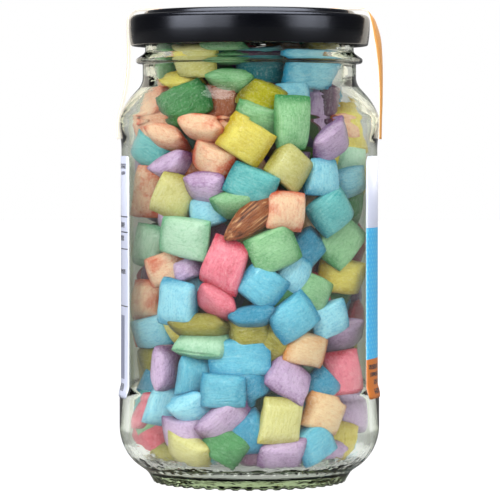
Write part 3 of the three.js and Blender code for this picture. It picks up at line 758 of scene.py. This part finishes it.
def makeStrip():
    bm = bmesh.new()
    bmesh.ops.create_grid(bm, x_segments=strip["steps"], y_segments=4, size=0.5)
    bmesh.ops.solidify(bm, geom=bm.faces[:], thickness=strip["thickness"])
    middle = sum(vert.co.z for vert in bm.verts) / len(bm.verts)
    outerSide = bm.verts.layers.float.new("outerSide")
    for vert in bm.verts:
        vert[outerSide] = vert.co.z > middle
    for vert in bm.verts:
        frontPlace, frontHeading = routePoint(strip["front"], vert.co.x + 0.5)
        backPlace, backHeading = routePoint(strip["back"], vert.co.x + 0.5)
        share = vert.co.y + 0.5
        place = frontPlace.lerp(backPlace, share)
        heading = frontHeading.lerp(backHeading, share).normalized()
        normal = Vector((-heading.y, heading.x))
        level = place + normal * (vert.co.z - middle)
        offset = vert.co.y * strip["width"] - level.x * strip["slant"]
        pulled = abs(level.x) - math.sqrt(max(level.x ** 2 - offset ** 2, 0))
        across = level.x - math.copysign(pulled * heading.y ** 2, level.x)
        vert.co = (across, offset, level.y)
    return makePiece("sealStrip", bm, stripMaterial(), "strip_paper", ["seal_strip"])


makeStrip()
print("strip is made")


# Candies

sugar = {
    # name: pale colour, deep colour, which serves the painted shade as well as the deeper patches, streaks
    # and ends
    "yellow": ("#f3e06c", "#ccaa1c"),
    "deepYellow": ("#b8ae00", "#7e7600"),
    "cream": ("#e0d794", "#bcae4c"),
    "mint": ("#c2e4cd", "#6eb68c"),
    "green": ("#98cb9a", "#3f9254"),
    "deepGreen": ("#4e9c5c", "#10642a"),
    "yellowGreen": ("#a89c3a", "#665c14"),
    "teal": ("#74cad0", "#18909e"),
    "darkTeal": ("#2f8290", "#12525e"),
    "blue": ("#a2e2fa", "#229ece"),
    "midBlue": ("#70c6e4", "#1690be"),
    "deepBlue": ("#3498c0", "#086890"),
    "pink": ("#f8869e", "#c82c4a"),
    "redPink": ("#e85f76", "#b3203a"),
    "peach": ("#ffd0b0", "#de6242"),
    "orange": ("#ffdab0", "#e08e42"),
    "coral": ("#a45f42", "#702e1a"),
    "lilac": ("#d8b8e2", "#7e4c88"),
    "plum": ("#724868", "#401a3a"),
}
# How much of the deeper colour shows as blotches, where it isn't 1
blotches = {"peach": 2.4, "orange": 1.5, "coral": 1.6, "pink": 1.3, "redPink": 1.6}

# Share of each colour among the candies that aren't placed one by one.
mixture = {
    "yellow": 9, "cream": 6, "mint": 8, "green": 8, "deepGreen": 4, "yellowGreen": 4, "teal": 7,
    "blue": 12, "deepBlue": 4, "pink": 7, "redPink": 3, "peach": 9, "orange": 5, "coral": 3,
    "lilac": 10, "plum": 2,
}

candy = {
    "length": 12.6,
    "width": 11.4,
    "thickness": 7.2,
    "sides": 12,
    "cuts": 4,
    "pinchShare": 0.13,  # how thick the pinched ends are
    "endCrowding": 0.85,  # the cuts lie closer together towards the ends
    "swell": (2.6, 0.72),
    "fullness": 0.62,
    "squareEnds": 0.25,
    "narrowEnds": 0.06,
    "cornerCut": 0.05,
    "seamCrease": 0.85,
    "sideCrease": 0.3,
    "sideLine": 0.433,  # how far out the lines along the sides run, in widths
    "levels": 2,
    "clear": 0.3,  # gap to the glass
    # what makes no two alike
    "drift": 40,
    "patternShift": 5,
    "creaseSpread": (0.6, 0.9),
    "twist": 0.16,
    "bend": 0.9,
    "taper": 0.08,
    "skew": 0.09,
    "dentReach": (1.8, 3.2),
    "dentDepth": (0.2, 0.9),
    "wobble": 0.55,
    "wobbleScale": 0.22,
    # those at the sides lie less flat on the glass and show more of their face to the front
    "flatness": 0.9,
    "sideLift": 0.65,
    "sideAngles": (0.6, 1.25),
    "frontLight": 0.9,
    "seed": 4177,
}

# Each row is one candy at the front: colour, millimetres across and up as seen on the jar's
# middle plane, turn in that plane, roll about its own length, lean of its length towards the
# glass, length, width, depth behind the glass.
frontCandies = [
    # neck and shoulder
    ("cream", -14.7, 116.0, 0, 10, 0, 13.0, 9.5, 0.3),
    ("peach", -22.7, 109.4, 80, 0, 0, 13.0, 10.0, 0.5),
    ("yellow", -17.6, 109.0, 8, 60, 0, 11.5, 10.5, 0.0),
    ("green", -4.5, 109.4, -3, 60, 0, 12.8, 11.0, 0.0),
    ("darkTeal", 3.0, 113.8, 10, 20, 0, 13.0, 11.0, 9.0),
    ("blue", 16.1, 112.3, -5, 15, 0, 16.0, 10.6, 0.0),
    ("green", -6.7, 119.0, 0, 70, 0, 12.0, 10.0, 0.5),
    ("yellowGreen", 22.0, 119.0, 10, 60, 0, 11.0, 10.0, 0.5),
    ("plum", 22.8, 104.5, 85, 60, 0, 10.5, 10.0, 2.0),
    ("lilac", 18.9, 101.8, 80, 0, 0, 12.5, 10.0, 3.2),
    ("coral", -7.5, 103.2, 80, 0, 0, 13.0, 10.0, 6.0),
    ("deepYellow", 3.5, 105.0, -28, 25, 0, 11.0, 9.5, 0.6),
    ("green", 2.4, 99.6, -15, 20, 0, 13.0, 9.0, 5.0),
    ("green", 11.5, 98.4, 88, 0, 0, 14.0, 9.8, 0.4),
    ("deepGreen", -17.2, 103.9, 22, 20, 0, 15.5, 9.8, 0.0),
    ("peach", -29.5, 99.9, 38, 0, 0, 13.8, 10.6, 0.0),
    ("peach", 26.4, 98.4, -25, 78, 0, 9.0, 8.6, 2.4),
    ("lilac", 21.7, 93.4, 32, 25, 0, 11.8, 9.8, 0.2),
    ("yellow", 28.8, 96.6, 104, 0, 0, 15.6, 10.0, 0.0),
    ("yellow", 26.4, 89.0, 20, 0, 0, 11.0, 9.0, 3.0),
    # upper body
    ("peach", -21.6, 94.8, -15, 62, 0, 11.4, 10.0, 0.4),
    ("peach", -12.2, 97.3, -12, 72, 0, 13.2, 10.4, 0.0),
    ("peach", -9.6, 88.7, -24, 22, 0, 12.4, 9.4, 1.8),
    ("yellow", -0.9, 94.0, -33, 0, 0, 13.4, 11.2, 0.0),
    ("cream", 10.9, 86.7, -39, 0, 0, 11.6, 10.8, 0.3),
    ("teal", 0.6, 81.7, -24, 12, 0, 13.6, 10.0, 0.8),
    ("teal", -28.6, 91.0, -35, 20, 0, 13.4, 10.4, 0.0),
    ("lilac", -20.2, 86.8, 24, 68, 0, 12.6, 10.0, 1.2),
    ("peach", -28.9, 79.7, 82, 25, 0, 14.6, 9.6, 0.0),
    ("cream", -20.3, 78.4, 66, 28, 0, 12.4, 11.4, 0.2),
    ("lilac", -11.8, 80.9, -4, 48, 0, 11.8, 9.6, 0.8),
    ("green", -3.2, 76.8, 16, 55, 0, 13.0, 9.6, 1.8),
    ("blue", -11.7, 74.2, 15, 0, 0, 10.0, 9.0, 4.0),
    ("teal", 22.2, 74.4, 35, 0, 0, 12.6, 11.6, 0.0),
    ("blue", 19.5, 83.8, 85, 0, 0, 10.4, 10.0, 1.2),
    ("blue", 27.0, 82.4, 15, 25, 0, 10.0, 8.6, 1.0),
    ("peach", 9.8, 74.4, 85, 0, 0, 10.8, 10.8, 0.0),
    ("deepGreen", 30.4, 76.5, 85, 0, 0, 12.0, 8.6, 1.6),
    # middle
    ("green", 24.4, 66.0, 50, 0, 0, 13.6, 11.8, 0.0),
    ("mint", -17.2, 67.0, -8, 0, 0, 15.0, 11.4, 0.0),
    ("mint", -28.0, 64.6, 75, 0, 0, 12.4, 9.6, 0.4),
    ("green", 6.5, 63.7, 25, 0, 0, 13.4, 11.8, 0.2),
    ("yellow", 25.0, 56.2, -6, 12, 0, 13.2, 10.2, 0.0),
    ("blue", 11.7, 56.6, 65, 0, 0, 11.0, 9.4, 3.0),
    ("midBlue", 3.5, 53.7, -35, 0, 0, 11.8, 10.8, 0.4),
    ("pink", -6.7, 59.5, 70, 0, 0, 14.0, 11.8, 0.0),
    ("pink", -8.7, 49.0, -33, 50, 0, 12.2, 10.2, 0.6),
    ("peach", -22.4, 58.4, 15, 10, 0, 12.4, 9.6, 1.2),
    ("blue", -19.4, 49.0, 84, 0, 0, 12.6, 11.6, 0.0),
    ("peach", -28.2, 49.3, 85, 0, 0, 11.4, 9.2, 0.2),
    ("green", 17.0, 52.2, -25, 0, 0, 11.4, 9.6, 2.4),
    ("blue", -26.4, 40.6, 12, 10, 0, 12.2, 9.2, 0.0),
    ("yellowGreen", -12.5, 42.0, 5, 66, 0, 16.6, 11.0, 0.8),
    ("mint", -12.7, 37.3, 88, 0, 66, 10.4, 15.4, 0.0),
    ("midBlue", 12.0, 44.9, 35, 0, 0, 13.0, 10.8, 0.0),
    ("blue", 21.4, 44.2, 20, 0, 0, 11.4, 9.8, 1.2),
    ("deepBlue", 1.0, 45.4, 10, 78, 0, 12.8, 10.0, 0.4),
    ("lilac", 25.0, 40.0, 10, 40, 0, 13.0, 9.8, 1.0),
    # lower body
    ("lilac", -22.7, 30.5, 88, 84, 0, 13.0, 8.6, 0.3),
    ("yellowGreen", -28.8, 32.6, 20, 0, 0, 11.0, 10.0, 2.0),
    ("deepBlue", -28.4, 24.0, 60, 0, 0, 12.4, 9.6, 1.0),
    ("midBlue", -15.0, 28.7, 78, 52, 0, 11.6, 9.8, 0.4),
    ("midBlue", -2.6, 33.8, 3, 0, 0, 16.4, 11.0, 2.8),
    ("midBlue", -7.0, 24.5, -3, 0, 0, 12.2, 9.6, 0.0),
    ("blue", -22.7, 20.4, 68, 48, 0, 11.6, 9.6, 0.4),
    ("blue", -15.3, 19.5, 18, 50, 0, 12.2, 9.6, 0.2),
    ("pink", 25.3, 28.4, 98, 0, 0, 14.4, 10.4, 0.0),
    ("lilac", 10.6, 27.9, 55, 0, 36, 12.8, 13.2, 0.0),
    ("orange", 15.3, 36.1, -15, 0, 0, 12.0, 9.6, 1.2),
    ("deepBlue", 19.7, 25.0, -40, 0, 0, 10.6, 9.6, 3.0),
    ("yellowGreen", 6.2, 38.2, -40, 0, 0, 11.0, 9.6, 4.0),
    # heel
    ("orange", 20.0, 18.2, -20, 0, 0, 12.0, 10.0, 0.2),
    ("lilac", 28.8, 17.9, 85, 0, 0, 9.6, 9.4, 0.0),
    ("redPink", -27.4, 12.0, -32, 15, 0, 13.4, 10.2, 0.2),
    ("lilac", -17.8, 12.9, -5, 10, 0, 12.6, 9.2, 1.0),
    ("lilac", -6.7, 16.5, 42, 40, 0, 14.6, 9.8, 0.0),
    ("deepGreen", -6.5, 8.0, -30, 0, 0, 11.6, 9.8, 0.4),
    ("cream", -16.1, 7.6, -18, 40, 0, 13.4, 9.6, 0.2),
    ("deepBlue", 0.0, 12.9, -65, 15, 0, 12.0, 9.8, 2.0),
    ("cream", 8.4, 16.2, 80, 0, 0, 12.2, 11.6, 0.0),
    ("yellow", 24.4, 10.8, 70, 0, 0, 10.6, 9.4, 2.0),
    ("midBlue", 17.8, 9.8, 30, 0, 0, 11.0, 10.4, 0.0),
    ("lilac", 8.7, 6.4, 4, 40, 0, 13.0, 9.6, 0.4),
    # deeper ones that show in the gaps
    ("yellowGreen", 1.3, 66.4, 20, 0, 0, 11.0, 9.6, 5.0),
    ("deepBlue", 15.3, 63.7, 40, 0, 0, 11.0, 9.6, 5.0),
    ("lilac", -16.9, 58.1, 20, 0, 0, 9.0, 6.0, 3.5),
    ("plum", -30.2, 58.7, 70, 0, 0, 11.0, 9.0, 3.0),
    ("plum", -21.6, 38.3, 10, 0, 0, 11.0, 9.0, 6.5),
    ("pink", -28.5, 18.0, 55, 80, 0, 9.4, 9.0, 0.0),
    ("blue", 31.9, 17.1, 80, 0, 0, 11.0, 8.0, 2.5),
    ("plum", 9.3, 10.4, 0, 0, 0, 11.0, 9.6, 4.0),
    ("deepGreen", 8.2, 50.2, 30, 0, 0, 11.0, 9.6, 4.0),
    ("deepBlue", 26.6, 47.4, -20, 0, 0, 11.0, 9.6, 5.0),
    ("coral", 28.3, 36.1, 10, 0, 0, 11.0, 9.6, 4.0),
    ("teal", -32.6, 19.8, 70, 0, 0, 10.0, 9.0, 0.5),
    ("green", -31.8, 16.5, 20, 0, 0, 9.0, 8.0, 1.0),
    ("coral", -30.7, 27.0, 80, 0, 0, 11.0, 9.0, 3.0),
    ("yellowGreen", 0.2, 41.1, 10, 0, 0, 11.0, 9.6, 3.0),
    ("plum", 24.4, 21.2, 40, 0, 0, 11.0, 9.6, 4.0),
    ("deepGreen", 26.4, 51.3, -20, 0, 0, 11.0, 9.6, 4.0),
    ("mint", 30.8, 88.5, 80, 0, 0, 11.0, 9.0, 1.0),
    ("blue", 11.5, 106.1, 10, 0, 0, 10.0, 8.0, 4.0),
    ("deepBlue", 0.6, 26.0, 40, 0, 0, 11.0, 9.6, 3.0),
]

# Low ones that show under the others, and one in the shoulder
lastCandies = [
    ("teal", -11.0, 5.0, 4, 82, 0, 11.0, 9.0, 3.0),
    ("plum", 0.5, 5.0, -4, 80, 0, 11.0, 9.0, 3.0),
    ("green", 14.0, 5.0, 3, 84, 0, 11.0, 9.0, 3.5),
    ("yellowGreen", -20.5, 6.0, 0, 84, 0, 10.0, 9.0, 3.0),
    ("lilac", 21.0, 6.0, 0, 84, 0, 10.0, 9.0, 3.0),
    ("peach", -31.6, 103.4, 50, 84, 0, 12.0, 8.4, 0.0),
]

almond = {
    "length": 18.0, "width": 7.9, "thickness": 6.0, "across": 0.4, "up": 72.3, "turn": 39,
    "lean": 10, "back": 0.8,
    "point": (0.26, 0.1),  # how much wider one end is, and how far both ends narrow
    "ridge": 0.035,
    "skin": ("#552410", "#a4582e", "#e4b184"),  # furrows, skin and ridges
}

rng = random.Random(candy["seed"])


# The plain pillow that every candy starts from, one unit long, wide and thick, length along X.
def pillowMesh():
    bm = bmesh.new()
    bmesh.ops.create_cone(
        bm, cap_ends=True, segments=candy["sides"], radius1=0.5, radius2=0.5, depth=1,
        matrix=Matrix.Rotation(math.pi / 2, 4, "Y"),
    )
    lengthwise = [edge for edge in bm.edges if abs(edge.verts[0].co.x - edge.verts[1].co.x) > 0.5]
    bmesh.ops.subdivide_edges(bm, edges=lengthwise, cuts=candy["cuts"], use_grid_fill=True)
    crease = bm.edges.layers.float.new("crease_edge")
    sides = {edge for edge in bm.edges if abs(edge.verts[0].co.x - edge.verts[1].co.x) > 0.05}
    for edge in bm.edges:
        if all(abs(vert.co.x) > 0.49 for vert in edge.verts):
            edge[crease] = candy["seamCrease"]
        elif all(abs(abs(vert.co.y) - candy["sideLine"]) < 0.01 for vert in edge.verts) and edge in sides:
            edge[crease] = candy["sideCrease"]
    for vert in bm.verts:
        along = 2 * vert.co.x
        vert.co.x = 0.5 * math.copysign(abs(along) ** candy["endCrowding"], along)
        end = abs(2 * vert.co.x)
        swell = max(1 - end ** candy["swell"][0], 0) ** candy["swell"][1]
        thick = candy["pinchShare"] + (1 - candy["pinchShare"]) * swell
        # Rounded sides in the middle, flat and slightly narrower at the pinched ends.
        side = 2 * vert.co.y
        square = math.copysign(abs(side) ** (1 - candy["squareEnds"] * end), side)
        vert.co.y = 0.5 * square * (1 - candy["narrowEnds"] * end ** 2)
        vert.co.x *= 1 - candy["cornerCut"] * end ** 4 * square ** 4
        vert.co.z = math.copysign(abs(2 * vert.co.z) ** candy["fullness"], vert.co.z) * 0.5 * thick
    bm.verts.ensure_lookup_table()
    mesh = bpy.data.meshes.new("pillow")
    bm.to_mesh(mesh)
    bm.free()
    return mesh


# Three even noises in one vector, the same on each run.
def wobble(place):
    shifts = (Vector((0, 0, 0)), Vector((31.4, 0.5, 7.7)), Vector((-12.3, 45.6, 0.2)))
    return Vector([noise.noise(place + shift) for shift in shifts])


# Corners of one candy in its own millimetres: no two have the same dents, twist and bend.
def candyCorners(mesh, length, width, thickness, dice):
    drift = Vector([dice.uniform(-candy["drift"], candy["drift"]) for axis in range(3)])
    twist, bend, taper, skew = [
        dice.uniform(-candy[key], candy[key]) for key in ("twist", "bend", "taper", "skew")
    ]
    dents = [
        (Vector((dice.uniform(-0.3, 0.3) * length, dice.uniform(-0.4, 0.4) * width, side * thickness / 2)),
         dice.uniform(*candy["dentReach"]), dice.uniform(*candy["dentDepth"]))
        for side in (-1, 1)
    ]
    corners = []
    for vert in mesh.vertices:
        place = Vector((vert.co.x * length, vert.co.y * width, vert.co.z * thickness))
        end = 2 * vert.co.x
        place.y *= 1 + taper * end
        place.x += skew * place.y
        place.z += bend * (end ** 2 - 0.4)
        place = Matrix.Rotation(twist * end, 3, "X") @ place
        for middle, reach, depth in dents:
            near = math.exp(-((place - middle).length / reach) ** 2)
            place.z -= math.copysign(depth * near, middle.z)
        place += candy["wobble"] * wobble((place + drift) * candy["wobbleScale"])
        corners.append(place)
    return corners, drift


# Axes of a piece whose flat side faces outwards at an angle round the jar.
def lyingAxes(angle, turn, roll, lean=0):
    face = Matrix((
        (math.cos(angle), 0, math.sin(angle)),
        (math.sin(angle), 0, -math.cos(angle)),
        (0, 1, 0),
    ))
    spun = Matrix.Rotation(math.radians(turn), 3, "Z")
    leaned = Matrix.Rotation(math.radians(lean), 3, "Y")
    rolled = Matrix.Rotation(math.radians(roll), 3, "X")
    return face @ spun @ leaned @ rolled


# Moves a shape straight inwards, and up off the floor, until all of it is inside the glass.
def settledCentre(corners, outward, height, back):
    lowest = min(corner.z for corner in corners)
    floorHeight = glass["floorMiddle"] + candy["clear"] - lowest
    centre = outward * glass["bodyInner"]
    centre.z = max(height, floorHeight)
    for step in range(12):
        worst = max(
            (corner + centre).xy.length - roomRadius((corner + centre).z) + candy["clear"]
            for corner in corners
        )
        centre -= outward * worst
        if abs(worst) < 0.01:
            break
    return centre - outward * back


# A piece placed where the camera sees it, with its outermost point against the glass.
def seenPlace(corners, across, up, turn, roll=0, lean=0, back=0):
    depth = glass["bodyInner"] - candy["thickness"] / 2
    centre = None
    for step in range(5):
        shrink = (view["distance"] - depth) / view["distance"]
        height = view["height"] + (up - view["height"]) * shrink
        radius = centre.xy.length if centre else depth
        angle = math.asin(min(max(across * shrink / radius, -0.99), 0.99))
        outward = Vector((math.sin(angle), -math.cos(angle), 0))
        flatness = candy["flatness"] - candy["sideLift"] * blendShare(*candy["sideAngles"], abs(angle))
        axes = lyingAxes(flatness * angle, turn, roll, lean)
        turnedCorners = [axes @ corner for corner in corners]
        centre = settledCentre(turnedCorners, outward, height, back)
        depth = -centre.y
    return axes, centre


def pickColour():
    names = list(mixture)
    return rng.choices(names, [mixture[name] for name in names])[0]


fill = {
    "firstRow": 10.5,
    "lastRow": 118.5,
    "rowPitch": 10.6,
    "aroundPitch": 12.2,
    "leastSpacing": 7.6,
    "frontHalf": 62,  # either side of the front, where the candies are placed one by one
    "layers": [0, 7.5],
    "lengths": (0.85, 1.12),
    "widths": (0.82, 1.06),
    "thicknesses": (0.9, 1.08),
    "rolls": (0, 0, 25, -25, 60),
    "rollSpread": 15,
    "aroundSpread": 0.12,
    "upSpread": 1.5,
}


# The candies: colour name, corners in place, corners of its own, drift, tint, and how far each corner faces
# outwards, which sets its painted shade
def placeCandies(mesh):
    placed = []
    centres = []

    def keep(colour, corners, drift, axes, centre, front=0):
        # How far each corner faces outwards, or to the front, as on a smooth egg of the candy's size: this
        # sets each candy's painted light and shade.
        outward = (Vector((centre.x, centre.y, 0)).normalized() - Vector((0, front, 0))).normalized()
        shadeFacing = []
        for corner in corners:
            egg = Vector((corner.x / candy["length"] ** 2, corner.y / candy["width"] ** 2,
                          corner.z / candy["thickness"] ** 2))
            shadeFacing.append((axes @ egg).normalized().dot(outward))
        spots = [axes @ corner + centre for corner in corners]
        placed.append((colour, spots, corners, drift, rng.random(), shadeFacing))
        centres.append(centre.copy())

    def keepRows(rows):
        for colour, across, up, turn, roll, lean, length, width, back in rows:
            corners, drift = candyCorners(mesh, length, width, candy["thickness"], rng)
            axes, centre = seenPlace(corners, across, up, turn, roll, lean, back)
            keep(colour, corners, drift, axes, centre, candy["frontLight"])

    keepRows(frontCandies)
    for layer, inset in enumerate(fill["layers"]):
        row = 0
        height = fill["firstRow"]
        while height < fill["lastRow"]:
            radius = roomRadius(height) - candy["thickness"] / 2 - inset
            count = max(int(math.tau * radius / fill["aroundPitch"]), 3)
            for place in range(count):
                shift = (row % 2) / 2 + rng.uniform(-fill["aroundSpread"], fill["aroundSpread"])
                angle = ((place + shift) / count) * math.tau - math.pi
                outward = Vector((math.sin(angle), -math.cos(angle), 0))
                length = candy["length"] * rng.uniform(*fill["lengths"])
                width = candy["width"] * rng.uniform(*fill["widths"])
                thickness = candy["thickness"] * rng.uniform(*fill["thicknesses"])
                corners, drift = candyCorners(mesh, length, width, thickness, rng)
                turn = rng.uniform(-90, 90)
                roll = rng.choice(fill["rolls"]) + rng.uniform(-fill["rollSpread"], fill["rollSpread"])
                axes = lyingAxes(angle, turn, roll)
                turnedCorners = [axes @ corner for corner in corners]
                level = height + rng.uniform(-fill["upSpread"], fill["upSpread"])
                centre = settledCentre(turnedCorners, outward, level, inset)
                crowded = any((other - centre).length < fill["leastSpacing"] for other in centres)
                inFront = layer == 0 and abs(angle) < math.radians(fill["frontHalf"])
                if not crowded and not inFront:
                    keep(pickColour(), corners, drift, axes, centre)
            row += 1
            height += fill["rowPitch"]
    keepRows(lastCandies)
    return placed


# Pulled sugar: fine streaks along the length, cloudy patches, painted shade as deeper colour where a candy
# turns away from the glass and the front, deeper colour at the pinched ends, and here and there a sprinkle
# of pale grains.
# Rows of four hold two limits of a pattern's value and the shares at them.
sugarCoat = {
    "bend": (0, 1.6, 1.6),
    "streakStretch": (0.16, 1.9, 1.9),
    "turnedShade": (-0.1, 0.85, 0.8, 0.0),
    "patchDeep": (0.5, 0.68, 0.0, 0.3),
    "streakDeep": (0.48, 0.68, 0.0, 0.26),
    "endDeep": 0.45,
    "frost": (0.3, 0.46, 0.26, 0.0),
    "paleSpeckle": (0.55, 0.68, 0.0, 0.2),
    "deepSpeckle": (0.45, 0.32, 0.0, 0.3),
    "grain": (0.1, 0.26, 0.35, 0.0),
    "grainyTints": (0.62, 0.72),
}


def sugarGroup():
    group, start, end = newGroup(
        "pulledSugar",
        [("Pale", "Color", None), ("Deep", "Color", None), ("Blotch", "Float", 1.0)],
        [("Color", "Color"), ("Roughness", "Float"), ("Height", "Float")],
    )
    pale, deep, blotch = [start.outputs[name] for name in ("Pale", "Deep", "Blotch")]
    space = attribute(group, "candySpace", "Vector")
    tint, pinch, outer = [attribute(group, name) for name in ("tint", "pinch", "paintedShadeFacing")]
    bent = addNode(group, "ShaderNodeTexNoise", Vector=space, Scale=0.25, Detail=1.0).outputs["Color"]
    bent = addNode(
        group, "ShaderNodeVectorMath", {"operation": "MULTIPLY_ADD"},
        n0=bent, n1=sugarCoat["bend"], n2=space,
    )
    streakSpace = stretched(group, bent.outputs["Vector"], sugarCoat["streakStretch"])
    streaks = noiseAt(group, streakSpace, 1.0, 5.0, Roughness=0.62)
    patches = noiseAt(group, space, 0.17, 4.0)
    # Painted shade: deeper colour where a candy turns away from the glass and the front, mixed with the
    # random patches.
    patchesAndShade = mathNode(group, "MULTIPLY_ADD", patches, 0.9, mathNode(group, "SUBTRACT", outer, 0.45))
    share = mapRange(group, patchesAndShade, *sugarCoat["turnedShade"])
    patchShare = mathNode(group, "MULTIPLY", mapRange(group, patches, *sugarCoat["patchDeep"]), blotch)
    endShare = mathNode(group, "MULTIPLY", pinch, sugarCoat["endDeep"])
    streakShare = mapRange(group, streaks, *sugarCoat["streakDeep"])
    for more in (patchShare, endShare, streakShare):
        share = mathNode(group, "ADD", share, more, clamp=True)
    tone = mixColour(group, share, pale, deep)
    frosted = mixColour(group, 0.5, pale, (1, 1, 1, 1))
    speckle = noiseAt(group, space, 1.5, 2.0)
    for pattern, limits, colour in (
        (streaks, "frost", frosted), (speckle, "paleSpeckle", frosted), (speckle, "deepSpeckle", deep),
    ):
        tone = mixColour(group, mapRange(group, pattern, *sugarCoat[limits]), tone, colour)
    light = mathNode(group, "MULTIPLY_ADD", tint, 0.16, 0.9)
    tone = mixColour(group, 1.0, tone, greyOf(group, light), "MULTIPLY")
    grains = addNode(group, "ShaderNodeTexVoronoi", Vector=space, Scale=1.5).outputs["Distance"]
    grainShare = mapRange(group, grains, *sugarCoat["grain"])
    grainy = mapRange(group, tint, *sugarCoat["grainyTints"])
    tone = mixColour(group, mathNode(group, "MULTIPLY", grainShare, grainy), tone, frosted)
    grain = noiseAt(group, space, 3.0, 3.0)
    setInputs(group, end, {
        "Color": tone,
        "Roughness": mathNode(group, "MULTIPLY_ADD", grain, 0.3, 0.16),
        "Height": mathNode(group, "MULTIPLY_ADD", grain, 0.3, streaks),
    })
    return group


pulledSugar = sugarGroup()


def sugarMaterial(name):
    material, tree, shader = newMaterial(f"sugar{name[0].upper()}{name[1:]}")
    pale, deep = [paint(code) for code in sugar[name]]
    coat = placeGroup(tree, pulledSugar, Pale=pale, Deep=deep, Blotch=blotches.get(name, 1.0)).outputs
    setInputs(tree, shader, {
        "Base Color": coat["Color"],
        "Roughness": coat["Roughness"],
        "Normal": bumpNormal(tree, coat["Height"], 0.8, 0.0005),
        "Specular IOR Level": 0.5,
        "Coat Weight": 0.3,
        "Coat Roughness": 0.14,
        "Subsurface Weight": 0.25,
        "Subsurface Radius": (1, 1, 1),
        "Subsurface Scale": 0.0012,
    })
    return material


def makeCandies():
    softest, sharper = candy["creaseSpread"]
    mesh = pillowMesh()
    placed = placeCandies(mesh)
    for name in sugar:
        chosen = [item for item in placed if item[0] == name]
        if not chosen:
            continue
        bm = bmesh.new()
        space = bm.verts.layers.float_vector.new("candySpace")
        tintLayer = bm.verts.layers.float.new("tint")
        pinchLayer = bm.verts.layers.float.new("pinch")
        paintedShadeLayer = bm.verts.layers.float.new("paintedShadeFacing")
        for colour, spots, own, drift, tint, shadeFacing in chosen:
            first = len(bm.verts)
            firstEdge = len(bm.edges)
            bm.from_mesh(mesh)
            bm.verts.ensure_lookup_table()
            bm.edges.ensure_lookup_table()
            # The edges along the sides are sharper on some candies than on others.
            crease = bm.edges.layers.float["crease_edge"]
            for edge in bm.edges[firstEdge:]:
                if 0 < edge[crease] < 0.5:
                    edge[crease] *= softest + sharper * tint
            for vert, spot, home, outer in zip(bm.verts[first:], spots, own, shadeFacing):
                vert[pinchLayer] = blendShare(0.7, 1.0, abs(2 * vert.co.x))
                vert[tintLayer] = tint
                vert[space] = home + drift * candy["patternShift"]
                vert[paintedShadeLayer] = outer
                vert.co = spot
        piece = makePiece(
            f"candies_{name}", bm, sugarMaterial(name), "hard_candy", ["candy_heap"], weld=0.0001,
        )
        smoother = piece.modifiers.new("smoother", "SUBSURF")
        smoother.levels = candy["levels"]
        smoother.render_levels = candy["levels"]
    bpy.data.meshes.remove(mesh)
    print("candies placed:", len(placed))


makeCandies()


# The heap's core is painted shade: a dark body that keeps the gaps between the candies dark, in place of the
# shaded candies deep in the heap.
core = {"inset": 12, "bottom": 6.4, "top": 117, "steps": 48, "shade": "#141f24"}


def coreMaterial():
    material, tree, shader = newMaterial("deepShade")
    cells = addNode(tree, "ShaderNodeTexVoronoi", Vector=ownPlace(tree), Scale=110.0)
    tone = mixColour(tree, 0.85, cells.outputs["Color"], paint(core["shade"]))
    setInputs(tree, shader, {"Base Color": tone, "Roughness": 0.8})
    return material


def makeCore():
    bm = bmesh.new()
    neck = glass["neckInner"] - core["inset"]
    body = glass["bodyInner"] - core["inset"]
    low, high = core["bottom"], core["top"]
    shoulderLow, shoulderHigh = [glass["shoulder"][place][0] - 2 for place in (0, 2)]
    corners = [
        (0, low), (body - 3, low, 1.5), (body, low + 5, 1.5), (body, shoulderLow, 2),
        (neck, shoulderHigh, 2), (neck, high, 1.5), (0, high),
    ]
    profileLine(bm, corners, 3)
    spinProfile(bm, core["steps"])
    return makePiece("heapCore", bm, coreMaterial(), "hard_candy", ["candy_heap"])


makeCore()
print("core is made")


# Almond

def almondCorners():
    wider, narrower = almond["point"]
    bm = bmesh.new()
    bmesh.ops.create_uvsphere(bm, u_segments=28, v_segments=22, radius=0.5)
    bmesh.ops.rotate(bm, cent=(0, 0, 0), matrix=Matrix.Rotation(math.pi / 2, 3, "Y"), verts=bm.verts[:])
    for vert in bm.verts:
        along = 2 * vert.co.x
        around = math.atan2(vert.co.z, vert.co.y)
        point = 1 + wider * along - narrower * along ** 2
        spot = Vector((along * 1.2, 3.4 * math.cos(around), 3.4 * math.sin(around))) * 2.2
        ridge = 1 + almond["ridge"] * noise.noise(spot)
        vert.co.x = along * almond["length"] / 2
        vert.co.y *= almond["width"] * point * ridge
        vert.co.z *= almond["thickness"] * point * ridge
    return bm


def almondMaterial():
    material, tree, shader = newMaterial("almondSkin")
    space = attribute(tree, "nutSpace", "Vector")
    furrow = noiseAt(tree, stretched(tree, space, (0.1, 1.5, 1.5)), 1.0, 4.0, Roughness=0.6)
    dark, brown, pale = [paint(code) for code in almond["skin"]]
    tone = mixColour(tree, mapRange(tree, furrow, 0.36, 0.5), dark, brown)
    setInputs(tree, shader, {
        "Base Color": mixColour(tree, mapRange(tree, furrow, 0.54, 0.66), tone, pale),
        "Roughness": mapRange(tree, furrow, 0.3, 0.7, 0.5, 0.32),
        "Normal": bumpNormal(tree, furrow, 0.5, 0.0004),
    })
    return material


def makeAlmond():
    bm = almondCorners()
    corners = [vert.co.copy() for vert in bm.verts]
    axes, centre = seenPlace(
        corners, almond["across"], almond["up"], almond["turn"], 0, almond["lean"], almond["back"],
    )
    nutSpace = bm.verts.layers.float_vector.new("nutSpace")
    for vert, corner in zip(bm.verts, corners):
        vert[nutSpace] = corner
        vert.co = axes @ corner + centre
    return makePiece("almondNut", bm, almondMaterial(), "almond_skin", ["almond"])


makeAlmond()
print("almond is made")
